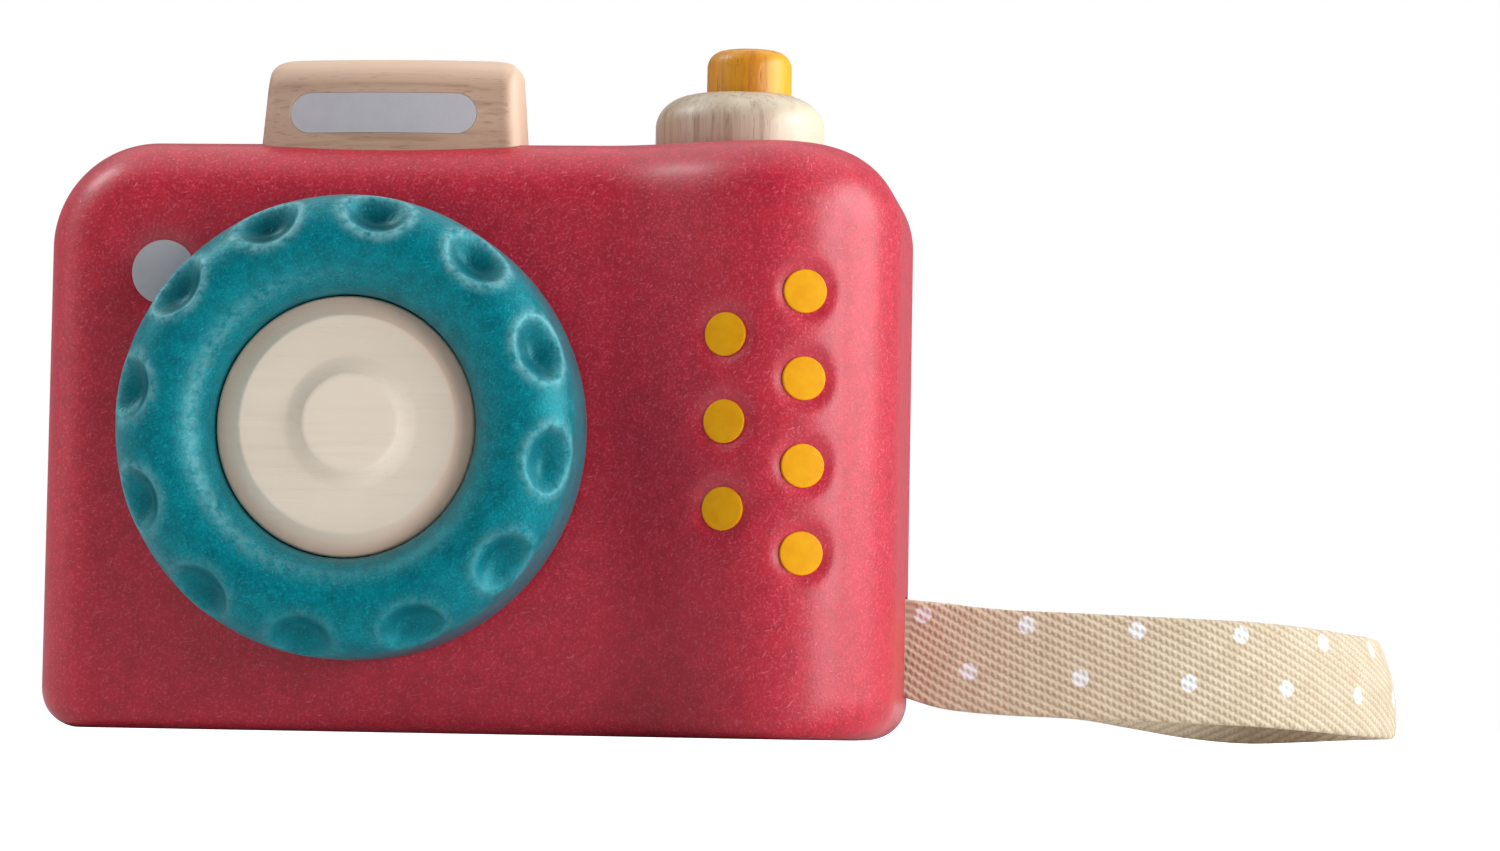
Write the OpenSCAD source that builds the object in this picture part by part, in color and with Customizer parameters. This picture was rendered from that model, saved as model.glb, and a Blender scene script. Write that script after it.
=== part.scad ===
// Wooden toy camera: a moulded sawdust body with a swollen hand grip, a turning
// scalloped lens ring, a sprung shutter button, a flash block and a tape wrist loop.
// Front faces -Y, +X is the viewer's right, +Z is up, and Z = 0 is the table.

/* [Body] */
// Width of the body across its two sides
body_w = 120; // [110:1:150]
// Height of the body from its base to its top
body_h = 82.5; // [78:0.5:100]
// Depth of the body from its flat front to its back
body_d = 38; // [36:0.5:50]
// Radius of the upper left corner, seen from the front
top_corner_r = 15; // [11:0.5:18]
// Radius of the upper right corner, over the grip
grip_corner_r = 12; // [10:0.5:18]
// Radius of the two lower corners, seen from the front
bottom_corner_r = 5.5; // [3:0.5:8]
// Rounding of the top and side edges of the front
front_edge_r = 9; // [6:0.5:11]
// Rounding of the edges of the back
back_edge_r = 4; // [2:0.5:5]
// Rounding of the front and back edges of the base
base_edge_r = 2.5; // [1:0.5:4]
// Thickness of the side, top and bottom walls
wall = 8; // [6.5:0.5:10]
// Thickness of the front wall behind the lens
front_wall = 7; // [5:0.5:9]

/* [Grip] */
// How far the grip swells forward of the flat front
grip_swell = 7.5; // [4:0.5:10]
// Distance of the grip's ridge from the right side
grip_ridge_inset = 17.5; // [15:0.5:21]
// Width of the slope between the flat front and the ridge
grip_flank_w = 24.5; // [20:0.5:28]
// Depth over which the grip rounds back into the right side
grip_side_d = 17; // [12:0.5:20]
// Diameter of a painted grip dot
grip_dot_d = 6; // [4:0.5:7]
// Thickness of a grip dot
grip_dot_t = 0.8; // [0.5:0.1:1.5]
// Distance between the dots of one column
grip_dot_pitch = 11.9; // [10:0.1:14]
// Distance between the two columns of dots
grip_col_gap = 11.3; // [9.5:0.1:14]
// Height of the middle of the dot pattern
grip_dot_z = 43.1; // [38:0.1:48]
// Number of dots in the outer column, one more than in the inner one
grip_dots_outer = 4; // [2:1:5]
// Radius of the hollow round each dot
dimple_r = 8; // [6:0.5:12]
// Depth of the hollow in which each dot lies
dimple_depth = 1.4; // [0.8:0.1:2]

/* [Lens] */
// Distance of the lens axis to the left of the middle
lens_shift = 13.5; // [8:0.5:18]
// Height of the lens axis
lens_z = 41.3; // [38:0.1:46]
// Outer diameter of the turning ring
ring_d = 63; // [56:0.5:68]
// How far the ring's crest stands forward of the flat front
ring_standoff = 21; // [19:0.5:26]
// Rounding of the ring's rear edge
ring_rear_r = 2.5; // [1:0.5:4]
// Diameter of the bore that runs on the hub
ring_bore_d = 24; // [20:0.5:28]
// Thickness of the web between the ring's bore and its rim
ring_web_t = 6; // [4:0.5:7]
// Number of finger hollows round the ring
scallops = 12; // [8:1:14]
// Turn of the first finger hollow from the right-hand side
scallop_start = 21; // [0:1:45]
// Radius of a finger hollow
scallop_r = 5; // [4.5:0.1:8]
// Depth of a finger hollow
scallop_depth = 2.4; // [1.2:0.1:2.8]
// Place of the hollows on the round of the ring, up from its side
scallop_tilt = 48; // [35:1:60]
// Radial running clearance of the ring on its hub
ring_play = 0.1; // [0.05:0.05:0.3]
// End play of the ring at its washer and at the lens disc
ring_end_play = 0.3; // [0.2:0.1:0.6]
// Diameter of the wooden lens disc
disc_d = 35.5; // [32:0.5:38]
// Gap between the lens disc and the ring
disc_gap = 0.35; // [0.3:0.05:1]
// Rounding of the lens disc's rim
disc_rim_r = 3; // [1:0.5:4]
// How far the disc's face lies behind the ring's crest
disc_recess = 4.8; // [3:0.2:7]
// Diameter of the raised middle of the disc at its foot
pupil_d = 18.4; // [14:0.2:22]
// Diameter of the raised middle of the disc at its top
pupil_top_d = 13; // [8:0.5:13.5]
// Height of the raised middle of the disc
pupil_h = 1.2; // [0.5:0.1:2]
// Diameter of the spigot that carries the disc
disc_spigot_d = 16; // [12:0.5:18]
// Depth of the spigot in the disc
disc_spigot_l = 5; // [3:0.5:5.5]
// Diameter of the spigot in the front wall
hub_spigot_d = 18; // [12:0.5:19]

/* [Lens fastening] */
// Thickness of the felt washer behind the ring
felt_t = 0.8; // [0.5:0.1:1.5]
// Outer diameter of the felt washer
felt_d = 40; // [34:1:50]
// Diameter of the steel washer inside
hub_washer_d = 26; // [22:1:30]
// Thickness of the steel washer inside
hub_washer_t = 1.5; // [1:0.1:2.5]
// Shank diameter of the hub screw
hub_screw_d = 4; // [3:0.1:5]
// Length of the hub screw's shank
hub_screw_l = 14; // [10:0.5:16]
// Head diameter of the hub screw
hub_head_d = 8; // [7:0.5:10]
// Head height of the hub screw
hub_head_h = 3; // [2:0.5:4]

/* [Shutter] */
// Distance of the collar's axis from the right side
collar_inset = 24; // [22:0.5:28]
// Distance of the shutter axis behind the flat front
shutter_back = 20; // [18:0.5:21]
// Diameter of the turned collar
collar_d = 24; // [21:0.5:26]
// Height of the collar above the body's top
collar_h = 8.4; // [7:0.2:11]
// Width of the round on the collar's top
collar_round_w = 5.6; // [3:0.2:6]
// Height of the round on the collar's top
collar_round_h = 4.6; // [3:0.2:6]
// Diameter of the collar's spigot in the body
collar_spigot_d = 20; // [19:0.5:20.5]
// Depth of the collar's spigot in the body
collar_spigot_l = 8; // [5:0.5:10]
// Offset of the button from the collar's axis
button_shift = 1.2; // [0:0.1:1.5]
// Diameter of the button's shank
button_d = 12; // [10:0.2:13]
// How far the button stands above the collar
button_proud = 6.5; // [4.5:0.1:8]
// Rounding of the button's top edge
button_round = 2.4; // [1:0.1:3.5]
// Travel of the button
button_travel = 3; // [1.5:0.1:4]
// Diameter of the button's foot, which keeps it in the collar
button_foot_d = 15.6; // [14.6:0.2:16]
// Thickness of the button's foot
button_foot_t = 3; // [2:0.5:4]
// Radial clearance of the button in the collar
button_play = 0.25; // [0.2:0.05:0.5]
// Radial clearance of the foot in its chamber
chamber_play = 0.6; // [0.4:0.1:1]
// Gap between the foot and the collar at rest
foot_gap = 0.1; // [0.05:0.05:0.3]
// Wall of the tower round the chamber
tower_wall = 3; // [2:0.5:4]
// Wire thickness of the return spring
spring_wire = 0.9; // [0.6:0.1:1.2]
// Mean diameter of the return spring
spring_d = 10; // [8:0.5:12]
// Length of the return spring at rest
spring_l = 15; // [12:0.5:18]
// Number of turns of the return spring
spring_turns = 6; // [5:1:8]

/* [Flash block] */
// Distance of the block's middle to the left of the body's middle
block_shift = 12; // [6:0.5:16]
// Width of the block at the body's top
block_w = 36.7; // [30:0.1:42]
// Depth of the block
block_d = 14; // [12:0.5:17]
// Height of the block above the body's top
block_h = 12.2; // [10:0.1:15]
// Distance of the block's front behind the flat front
block_back = 4.4; // [4:0.1:6]
// Slope of the block's sides
block_draft = 4; // [0:0.1:7]
// Rounding of the block's upright corners and top edges
block_round = 2.4; // [1.5:0.1:4]
// Radius of its upper front edge
block_brow = 5; // [2:0.1:5]
// Forward bow of the block's front
block_bow = 1.2; // [0.2:0.1:1.8]
// Depth by which the block is let into the body
block_sink = 4; // [2.5:0.1:4.5]
// Gap round the block in its pocket
block_gap = 0.12; // [0.05:0.01:0.3]
// Diameter of the two dowels under the block
dowel_d = 6; // [4:0.5:8]
// Distance between the two dowels
dowel_pitch = 20; // [14:0.5:24]
// Height of the dowels in the block
dowel_in_block = 9; // [6:0.5:11]
// Width of the silver window
window_w = 26.4; // [20:0.2:28]
// Height of the silver window
window_h = 5.7; // [4:0.1:6.5]
// Thickness of the silver window at its ends
window_t = 0.4; // [0.3:0.1:1]
// Height of the window's middle above the body's top
window_z = 3.95; // [3.4:0.05:5]
// Offset of the window to the left of the block's middle
window_shift = 0.8; // [0:0.1:1.5]

/* [Sensor dot] */
// Diameter of the silver sensor dot
sensor_d = 9; // [7:0.5:11]
// Distance of the dot from the left side
sensor_inset = 17.6; // [15:0.1:20]
// Height of the dot
sensor_z = 63.5; // [60:0.1:66]
// Radius of the hollow round the sensor dot
sensor_dimple_r = 14; // [12:0.5:20]

/* [Back cover] */
// Thickness of the back cover
cover_t = 4; // [3:0.5:6]
// Distance of the cover's edge from the body's sides
cover_inset = 5.5; // [5.2:0.1:6]
// Radius of the cover's lower corners
cover_corner_r = 3; // [2:0.5:6]
// Gap round the cover
cover_gap = 0.2; // [0.1:0.05:0.4]
// Distance of the upper screws from the sides and the top
screw_inset = 11.5; // [10.5:0.1:12]
// Distance of the lower screws from the sides
screw_low_inset = 26; // [23:0.5:34]
// Height of the lower screws
screw_low_z = 11.5; // [11:0.1:12]
// Diameter of the posts that take the screws
post_d = 9; // [7:0.5:10]
// Shank diameter of a cover screw
screw_d = 3; // [2.5:0.1:3.5]
// Length of a cover screw under its head
screw_l = 14; // [10:0.5:16]
// Head diameter of a cover screw
screw_head_d = 5.6; // [5:0.1:6.5]
// Head height of a cover screw
screw_head_h = 1.8; // [1.5:0.1:2.4]
// Depth of the screw heads below the cover's face
screw_sink = 0.4; // [0:0.1:0.6]
// Length of the cross recess in every screw head
recess_l = 3.2; // [2.4:0.1:4]
// Width of the cross recess in every screw head
recess_w = 0.8; // [0.6:0.1:1.2]
// Depth of the cross recess in every screw head
recess_d = 1; // [0.6:0.1:1.2]

/* [Wrist loop] */
// Width of the tape
strap_w = 15; // [12:0.5:16]
// Width of the tape where the slot gathers it
strap_slot_w = 13.8; // [11:0.2:15]
// Thickness of the tape
strap_t = 1.2; // [0.8:0.1:1.5]
// Distance of the slot behind which the tape leaves, from the back
strap_back = 8; // [7.5:0.1:10]
// Height of the middle of the slot
strap_z = 13.3; // [13:0.1:15]
// Gap round the tape in its slot
strap_gap = 0.3; // [0.1:0.05:0.6]
// Gap between the two layers of tape in the slot
strap_split = 0.3; // [0.1:0.05:0.6]
// Diameter of the dowel that keeps the tape inside
strap_pin_d = 4.4; // [3.5:0.1:5]
// Distance of that dowel from the right side
strap_pin_inset = 13.5; // [12.5:0.1:16]

/* [Fits] */
// Radial gap of glued spigots, dowels and screws
glue_gap = 0.05; // [0.02:0.01:0.15]
// Gap between a let-in flat piece and its recess
inlay_gap = 0.05; // [0.02:0.01:0.1]

/* [Hidden] */
$fn = 96;
cut = 1; // overrun of every cut
half_w = body_w / 2;
depth_all = body_d + ring_standoff;
back_y = depth_all / 2;
front_y = back_y - body_d;

// Points along each stretch of a section of the body, and levels of its corners
corner_steps = 7;
flank_steps = 10;
side_steps = 10;
back_steps = 4;
base_levels = 4;
top_levels = 10;

ridge_x = half_w - grip_ridge_inset;
flank_x = ridge_x - grip_flank_w;

lens_x = -lens_shift;
ring_r = ring_d / 2;
ring_bore_r = ring_bore_d / 2;
ring_back = felt_t + ring_end_play;
web_front = ring_back + ring_web_t;
disc_back = web_front + ring_end_play;
disc_front = ring_standoff - disc_recess;
disc_seat_r = disc_d / 2 + disc_gap;
ring_crown_r = (ring_r - disc_seat_r) / 2;
ring_crown_o = ring_standoff - ring_crown_r;

collar_x = half_w - collar_inset;
button_x = collar_x + button_shift;
shutter_y = front_y + shutter_back;
collar_top = body_h + collar_h;
spigot_z = body_h - collar_spigot_l;
foot_top = spigot_z - foot_gap;
foot_z = foot_top - button_foot_t;
chamber_r = button_foot_d / 2 + chamber_play;
chamber_z = foot_z - spring_l;
tower_half = chamber_r + tower_wall;

block_x = -block_shift;
block_y = front_y + block_back;
block_foot_z = body_h - block_sink;
block_top = body_h + block_h;
block_steps = 5;
window_x = block_x - window_shift;

cavity_y = front_y + front_wall;
cover_y = back_y - cover_t;

strap_y = back_y - strap_back;
pin_x = half_w - strap_pin_inset;
tape_ring_r = strap_pin_d / 2 + glue_gap + strap_t;
slot_h = strap_slot_w + 2 * strap_gap;
slot_w = 2 * strap_t + strap_split + 2 * strap_gap;

// Route of the tape: distance right of the side, distance behind the slot, height, lean
strap_route = [
    [0, -0.75, 13.3, 0], [6, -0.9, 12.1, 0], [14, -0.4, 11.4, 0], [24, 0.9, 11.1, 0],
    [34, 3, 10.8, 0], [42, 5.8, 10.6, 0], [49.2, 9.6, 10.4, 2], [55.2, 14.2, 10, 4],
    [60.2, 19.8, 9.6, 6], [64.2, 26, 9.2, 8], [67.2, 33, 9, 9], [69, 40, 8.8, 10],
    [69.2, 46.8, 8.7, 10], [67.2, 52.8, 8.6, 9], [62.6, 57, 8.4, 7], [56, 58.6, 8, 5],
    [48.6, 57, 7.75, 3], [40.4, 51.4, 8.4, 1], [32.4, 43, 9.7, 0], [25, 33.4, 10.9, 0],
    [18, 23, 11.3, 0], [11.4, 12.8, 11.7, 0], [6, 4.8, 12.3, 0], [2.6, 1.7, 12.95, 0],
    [0, 0.75, 13.3, 0]
];
strap_sub = 4; // rings to each stretch of the route

// Round step from 0 to 1
function smooth_rise(t) = (1 - cos(180 * t)) / 2;

// How far an edge of radius r has drawn in at the height h above its start
function edge_inset(r, h) = h <= 0 ? 0 : r - sqrt(max(0, r * r - h * h));

// Y of the front of the body at mid height
function front_at(x) =
    x <= flank_x ? front_y :
    x <= ridge_x ? front_y - grip_swell * smooth_rise((x - flank_x) / grip_flank_w) :
    front_y - grip_swell + grip_side_d * (1 - sqrt(1 - pow((x - ridge_x) / grip_ridge_inset, 2)));

// Turn of the front about Z at x, in degrees
slope_step = 0.01;
function front_turn(x) = atan2(front_at(x + slope_step) - front_at(x - slope_step), 2 * slope_step);

// Height at which the rounding of the top ends below it
top_step = 0.1;

// Left front edge of the plan at a height z: below the upper corner it is drawn in by left and
// front, and in the corner it is rounded along the corner's arc
function left_edge(z, left, front) =
    let (h = z - body_h + top_corner_r)
    h <= 0 ?
        [for (i = [0 : corner_steps]) let (a = 90 * i / corner_steps)
            [-half_w + left + (front_edge_r - left) * (1 - cos(a)), front_y + front + (front_edge_r - front) * (1 - sin(a))]] :
        let (turn = acos(1 - min(front_edge_r, top_corner_r - h) / front_edge_r))
        [for (i = [0 : corner_steps])
            let (a = turn * i / corner_steps, r = top_corner_r - front_edge_r * (1 - cos(a)))
            [-half_w + top_corner_r - sqrt(max(0, r * r - h * h)), front_y + front_edge_r * (1 - sin(a))]];

// Plan of the body at a height z, drawn in along its normals, from the left side round the front
function body_plan(z, left, right, front, back) =
    let (hl = half_w - left, hr = half_w - right, yf = front_y + front, yb = back_y - back)
    concat(
        left_edge(z, left, front),
        [for (i = [0 : flank_steps]) let (t = i / flank_steps)
            [flank_x + t * grip_flank_w, yf - grip_swell * smooth_rise(t)]],
        [for (i = [1 : side_steps]) let (a = 90 * i / side_steps)
            [ridge_x + (grip_ridge_inset - right) * sin(a), yf - grip_swell + (grip_side_d - front) * (1 - cos(a))]],
        [for (i = [0 : back_steps]) let (a = 90 * i / back_steps)
            [hr - back_edge_r * (1 - cos(a)), yb - back_edge_r * (1 - sin(a))]],
        [for (i = [0 : back_steps]) let (a = 90 * (1 - i / back_steps))
            [-hl + back_edge_r * (1 - cos(a)), yb - back_edge_r * (1 - sin(a))]]
    );

// Levels of the body: height, height for the rounding of the top, and how far the left and right
// sides are drawn in there. The first and the last overrun the base and the top, which are then cut
// flat; the rounding of the top ends a little below it.
corner_h = max(top_corner_r, grip_corner_r);
function top_level(z, down) = [
    z, body_h - down,
    edge_inset(top_corner_r, top_corner_r - down), edge_inset(grip_corner_r, grip_corner_r - down)
];
body_levels = concat(
    [[-cut, 0, bottom_corner_r, bottom_corner_r]],
    [for (i = [0 : base_levels])
        let (
            a = 90 * i / base_levels,
            z = bottom_corner_r * (1 - cos(a)),
            inset = bottom_corner_r * (1 - sin(a))
        )
        [z, z, inset, inset]],
    [for (i = [0 : top_levels])
        let (down = max(top_step, corner_h * (1 - sin(90 * i / top_levels)))) top_level(body_h - down, down)],
    [top_level(body_h + cut, top_step)]
);

function body_section(level) =
    let (
        z = level[1],
        base = edge_inset(base_edge_r, base_edge_r - z),
        front = base + edge_inset(front_edge_r, z - body_h + front_edge_r),
        back = base + edge_inset(back_edge_r, z - body_h + back_edge_r)
    )
    [for (p = body_plan(z, level[2], level[3], front, back)) [p[0], p[1], level[0]]];

// Solid through a stack of sections that have the same number of points
module loft(sections) {
    n = len(sections[0]);
    m = len(sections);
    polyhedron(
        points = [for (s = sections) each s],
        faces = concat(
            [[for (i = [0 : n - 1]) i]],
            [for (j = [0 : m - 2]) for (i = [0 : n - 1]) let (k = (i + 1) % n)
                each [[j * n + i, (j + 1) * n + i, (j + 1) * n + k],
                      [j * n + i, (j + 1) * n + k, j * n + k]]],
            [[for (i = [n - 1 : -1 : 0]) (m - 1) * n + i]]
        )
    );
}

// Places children on the front at x and z, with their +Z pointing out of it
module on_front(x, z) {
    translate([x, front_at(x), z]) rotate([0, 0, front_turn(x)]) rotate([90, 0, 0]) children();
}

// Places children on the lens axis, with their +Z pointing forward from the flat front
module on_lens() {
    translate([lens_x, front_y, lens_z]) rotate([90, 0, 0]) children();
}

// Ball that hollows a flat surface to a depth
module hollow_ball(r, depth) {
    translate([0, 0, r - depth]) sphere(r);
}

// Right half of a flat outline inset from the body's, with an upper corner of radius r
module outline_half(inset, corner_r, r) {
    hw = half_w - inset;
    translate([-cut, inset + corner_r]) square([hw + cut, body_h - 2 * inset - corner_r - r]);
    translate([-cut, inset]) square([hw - corner_r + cut, 2 * corner_r]);
    translate([-cut, body_h - inset - 2 * r]) square([hw - r + cut, 2 * r]);
    translate([hw - corner_r, inset + corner_r]) circle(corner_r);
    translate([hw - r, body_h - inset - r]) circle(r);
}

// Upright plate in the XZ plane from y0 to y1, inset from the body's outline
module outline_plate(inset, corner_r, y0, y1) {
    translate([0, y1, 0]) rotate([90, 0, 0]) linear_extrude(y1 - y0) union() {
        outline_half(inset, corner_r, max(grip_corner_r - inset, corner_r));
        mirror([1, 0]) outline_half(inset, corner_r, max(top_corner_r - inset, corner_r));
    }
}

screw_places = [
    [-half_w + screw_inset, body_h - screw_inset], [half_w - screw_inset, body_h - screw_inset],
    [-half_w + screw_low_inset, screw_low_z], [half_w - screw_low_inset, screw_low_z]
];

grip_dot_places = concat(
    [for (i = [0 : grip_dots_outer - 1])
        [ridge_x + grip_col_gap / 2, grip_dot_z + grip_dot_pitch * ((grip_dots_outer - 1) / 2 - i)]],
    [for (i = [0 : grip_dots_outer - 2])
        [ridge_x - grip_col_gap / 2, grip_dot_z + grip_dot_pitch * ((grip_dots_outer - 2) / 2 - i)]]
);

// Depth of a dot's face in a hollow of radius r at the dot's rim
function dot_depth(r, depth, d) = depth - edge_inset(r, d / 2);

module cavity() {
    difference() {
        outline_plate(wall, cover_corner_r, cavity_y, cover_y + cut);
        translate([button_x - tower_half, cavity_y - cut, chamber_z - tower_wall])
            cube([2 * tower_half, shutter_y + tower_half - cavity_y + cut, body_h]);
        for (p = screw_places)
            translate([p[0], back_y, p[1]]) rotate([90, 0, 0]) cylinder(h = body_d, d = post_d);
    }
}

// Bore of the shutter: seat of the collar and chamber of the button's foot and spring
module shutter_bore() {
    translate([collar_x, shutter_y, spigot_z])
        cylinder(h = collar_spigot_l + cut, d = collar_spigot_d + 2 * glue_gap);
    translate([button_x, shutter_y, chamber_z]) cylinder(h = spigot_z - chamber_z + cut, r = chamber_r);
}

// Slot in the right side and the pocket behind it, which opens to the back cover
module strap_anchor() {
    translate([pin_x, strap_y - slot_w / 2, strap_z - slot_h / 2])
        cube([strap_pin_inset + cut, slot_w, slot_h]);
    translate([pin_x - tape_ring_r - strap_gap, strap_y - tape_ring_r - strap_gap, strap_z - slot_h / 2 - strap_gap])
        cube([
            half_w - wall - pin_x + tape_ring_r + strap_gap,
            cover_y + cut - strap_y + tape_ring_r + strap_gap,
            slot_h + 2 * strap_gap
        ]);
}

// Plan of the flash block, drawn in on all sides, from its left side round the bowed front
function block_plan(inset, front) =
    let (
        hw = block_w / 2 - inset,
        y0 = block_y + front,
        y1 = block_y + block_d - inset,
        r = block_round,
        straight = hw - r
    )
    concat(
        [for (i = [0 : block_steps - 1]) let (a = 90 * i / block_steps)
            [block_x - hw + r * (1 - cos(a)), y0 + block_bow + r * (1 - sin(a))]],
        [for (i = [-block_steps : block_steps]) let (t = i / block_steps)
            [block_x + straight * t, y0 + block_bow * t * t]],
        [for (i = [block_steps - 1 : -1 : 0]) let (a = 90 * i / block_steps)
            [block_x + hw - r * (1 - cos(a)), y0 + block_bow + r * (1 - sin(a))]],
        [for (i = [0 : block_steps]) let (a = 90 * i / block_steps)
            [block_x + hw - r * (1 - cos(a)), y1 - r * (1 - sin(a))]],
        [for (i = [block_steps : -1 : 0]) let (a = 90 * i / block_steps)
            [block_x - hw + r * (1 - cos(a)), y1 - r * (1 - sin(a))]]
    );

// Inset of the block's sloping sides at a height above the body's top
function draft_inset(h) = max(0, h) * tan(block_draft);

module block_form() {
    brow_z = block_h - block_brow;
    heights = concat(
        [-block_sink, 0],
        [for (i = [0 : block_steps]) brow_z + block_brow * sin(90 * i / block_steps)]
    );
    loft([for (h = heights)
        let (
            inset = draft_inset(h) + edge_inset(block_round, h - block_h + block_round),
            front = draft_inset(h) + edge_inset(block_brow, h - brow_z)
        )
        [for (p = block_plan(inset, front)) [p[0], p[1], body_h + h]]]);
}

// Stadium that runs out of the block's sloping front from the floor of its recess
module window_prism(gap) {
    floor_y = block_y + draft_inset(window_z) + block_bow + window_t;
    translate([window_x, floor_y, body_h + window_z]) rotate([90 - block_draft, 0, 0])
        linear_extrude(block_d) union() {
            square([window_w - window_h, window_h + 2 * gap], center = true);
            for (s = [-1, 1])
                translate([s * (window_w - window_h) / 2, 0]) circle(d = window_h + 2 * gap);
        }
}

module flash_dowel_places() {
    for (s = [-1, 1])
        translate([block_x + s * dowel_pitch / 2, block_y + block_d / 2, 0]) children();
}

module front_shell() {
    color([0.71, 0.2, 0.26]) difference() {
        intersection() {
            loft([for (level = body_levels) body_section(level)]);
            translate([-body_w, -depth_all, 0]) cube([2 * body_w, 2 * depth_all, body_h]);
        }
        cavity();
        outline_plate(cover_inset, cover_corner_r, cover_y, back_y + cut);
        on_lens() translate([0, 0, -front_wall - cut])
            cylinder(h = front_wall + 2 * cut, d = hub_spigot_d + 2 * glue_gap);
        shutter_bore();
        translate([0, 0, block_foot_z]) linear_extrude(block_sink + cut) polygon(block_plan(-block_gap, -block_gap));
        flash_dowel_places() translate([0, 0, body_h - wall - cut])
            cylinder(h = wall - block_sink + 2 * cut, d = dowel_d + 2 * glue_gap);
        for (p = grip_dot_places) on_front(p[0], p[1]) {
            hollow_ball(dimple_r, dimple_depth);
            translate([0, 0, -dot_depth(dimple_r, dimple_depth, grip_dot_d) - grip_dot_t])
                cylinder(h = grip_dot_t + cut, d = grip_dot_d + 2 * inlay_gap);
        }
        on_front(-half_w + sensor_inset, sensor_z) {
            hollow_ball(sensor_dimple_r, dimple_depth);
            translate([0, 0, -dot_depth(sensor_dimple_r, dimple_depth, sensor_d) - grip_dot_t])
                cylinder(h = grip_dot_t + cut, d = sensor_d + 2 * inlay_gap);
        }
        strap_anchor();
        for (p = screw_places)
            translate([p[0], cover_y + cut, p[1]]) rotate([90, 0, 0])
                cylinder(h = screw_l - cover_t + 2 * cut, d = screw_d + 2 * glue_gap);
    }
}

module back_cover() {
    color([0.66, 0.18, 0.24]) difference() {
        outline_plate(cover_inset + cover_gap, cover_corner_r - cover_gap, cover_y, back_y);
        for (p = screw_places) translate([p[0], back_y, p[1]]) rotate([90, 0, 0]) {
            translate([0, 0, -cut]) cylinder(h = cover_t + 2 * cut, d = screw_d + 2 * glue_gap);
            translate([0, 0, -cut])
                cylinder(h = screw_sink + screw_head_h + cut, d = screw_head_d + 2 * glue_gap);
        }
    }
}

// Cross recess of a screw whose head starts at Z = 0 and points down
module cross_recess() {
    for (a = [0, 90]) rotate([0, 0, a]) cube([recess_l, recess_w, 2 * recess_d], center = true);
}

module cover_screws() {
    color("silver") for (p = screw_places)
        translate([p[0], back_y - screw_sink, p[1]]) rotate([90, 0, 0]) difference() {
            union() {
                cylinder(h = screw_head_h, d = screw_head_d);
                cylinder(h = screw_head_h + screw_l - cover_t, d = screw_d);
            }
            cross_recess();
        }
}

module lens_hub() {
    color([0.82, 0.72, 0.6]) on_lens() difference() {
        union() {
            translate([0, 0, -front_wall]) cylinder(h = front_wall, d = hub_spigot_d);
            cylinder(h = disc_back, r = ring_bore_r - ring_play);
            translate([0, 0, disc_back]) cylinder(h = disc_spigot_l, d = disc_spigot_d);
        }
        translate([0, 0, -front_wall - cut])
            cylinder(h = hub_screw_l - hub_washer_t + 2 * cut, d = hub_screw_d + 2 * glue_gap);
    }
}

// Profile of the ring: a doughnut front on a straight rim, a web and the disc's recess
module ring_profile() {
    difference() {
        union() {
            translate([ring_bore_r, ring_back])
                square([ring_r - ring_rear_r - ring_bore_r, ring_crown_o - ring_back]);
            translate([ring_bore_r, ring_back + ring_rear_r])
                square([ring_r - ring_bore_r, ring_crown_o - ring_back - ring_rear_r]);
            translate([ring_r - ring_rear_r, ring_back + ring_rear_r]) circle(ring_rear_r);
            translate([ring_r - ring_crown_r, ring_crown_o]) circle(ring_crown_r);
        }
        translate([0, web_front]) square([disc_seat_r, ring_standoff]);
    }
}

module lens_ring() {
    reach = ring_crown_r + scallop_r - scallop_depth;
    color([0.05, 0.45, 0.5]) on_lens() difference() {
        rotate_extrude() ring_profile();
        for (i = [0 : scallops - 1]) rotate([0, 0, scallop_start + 360 * i / scallops])
            translate([ring_r - ring_crown_r + reach * cos(scallop_tilt), 0, ring_crown_o + reach * sin(scallop_tilt)])
                sphere(scallop_r);
    }
}

module lens_disc() {
    r = disc_d / 2;
    color([0.88, 0.8, 0.7]) on_lens() rotate_extrude() difference() {
        union() {
            translate([0, disc_back]) square([r, disc_front - disc_rim_r - disc_back]);
            translate([0, disc_back]) square([r - disc_rim_r, disc_front - disc_back]);
            translate([r - disc_rim_r, disc_front - disc_rim_r]) circle(disc_rim_r);
            polygon([
                [0, disc_front], [pupil_d / 2, disc_front],
                [pupil_top_d / 2, disc_front + pupil_h], [0, disc_front + pupil_h]
            ]);
        }
        translate([0, disc_back - cut]) square([disc_spigot_d / 2 + glue_gap, disc_spigot_l + cut]);
    }
}

module felt_washer() {
    color([0.3, 0.3, 0.32]) on_lens() difference() {
        cylinder(h = felt_t, d = felt_d);
        translate([0, 0, -cut]) cylinder(h = felt_t + 2 * cut, d = ring_bore_d);
    }
}

module hub_washer() {
    color("silver") on_lens() translate([0, 0, -front_wall - hub_washer_t]) difference() {
        cylinder(h = hub_washer_t, d = hub_washer_d);
        translate([0, 0, -cut]) cylinder(h = hub_washer_t + 2 * cut, d = hub_screw_d + 2 * glue_gap);
    }
}

module hub_screw() {
    seat = -front_wall - hub_washer_t;
    color("silver") on_lens() difference() {
        union() {
            translate([0, 0, seat - hub_head_h]) cylinder(h = hub_head_h, d = hub_head_d);
            translate([0, 0, seat]) cylinder(h = hub_screw_l, d = hub_screw_d);
        }
        translate([0, 0, seat - hub_head_h]) cross_recess();
    }
}

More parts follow.
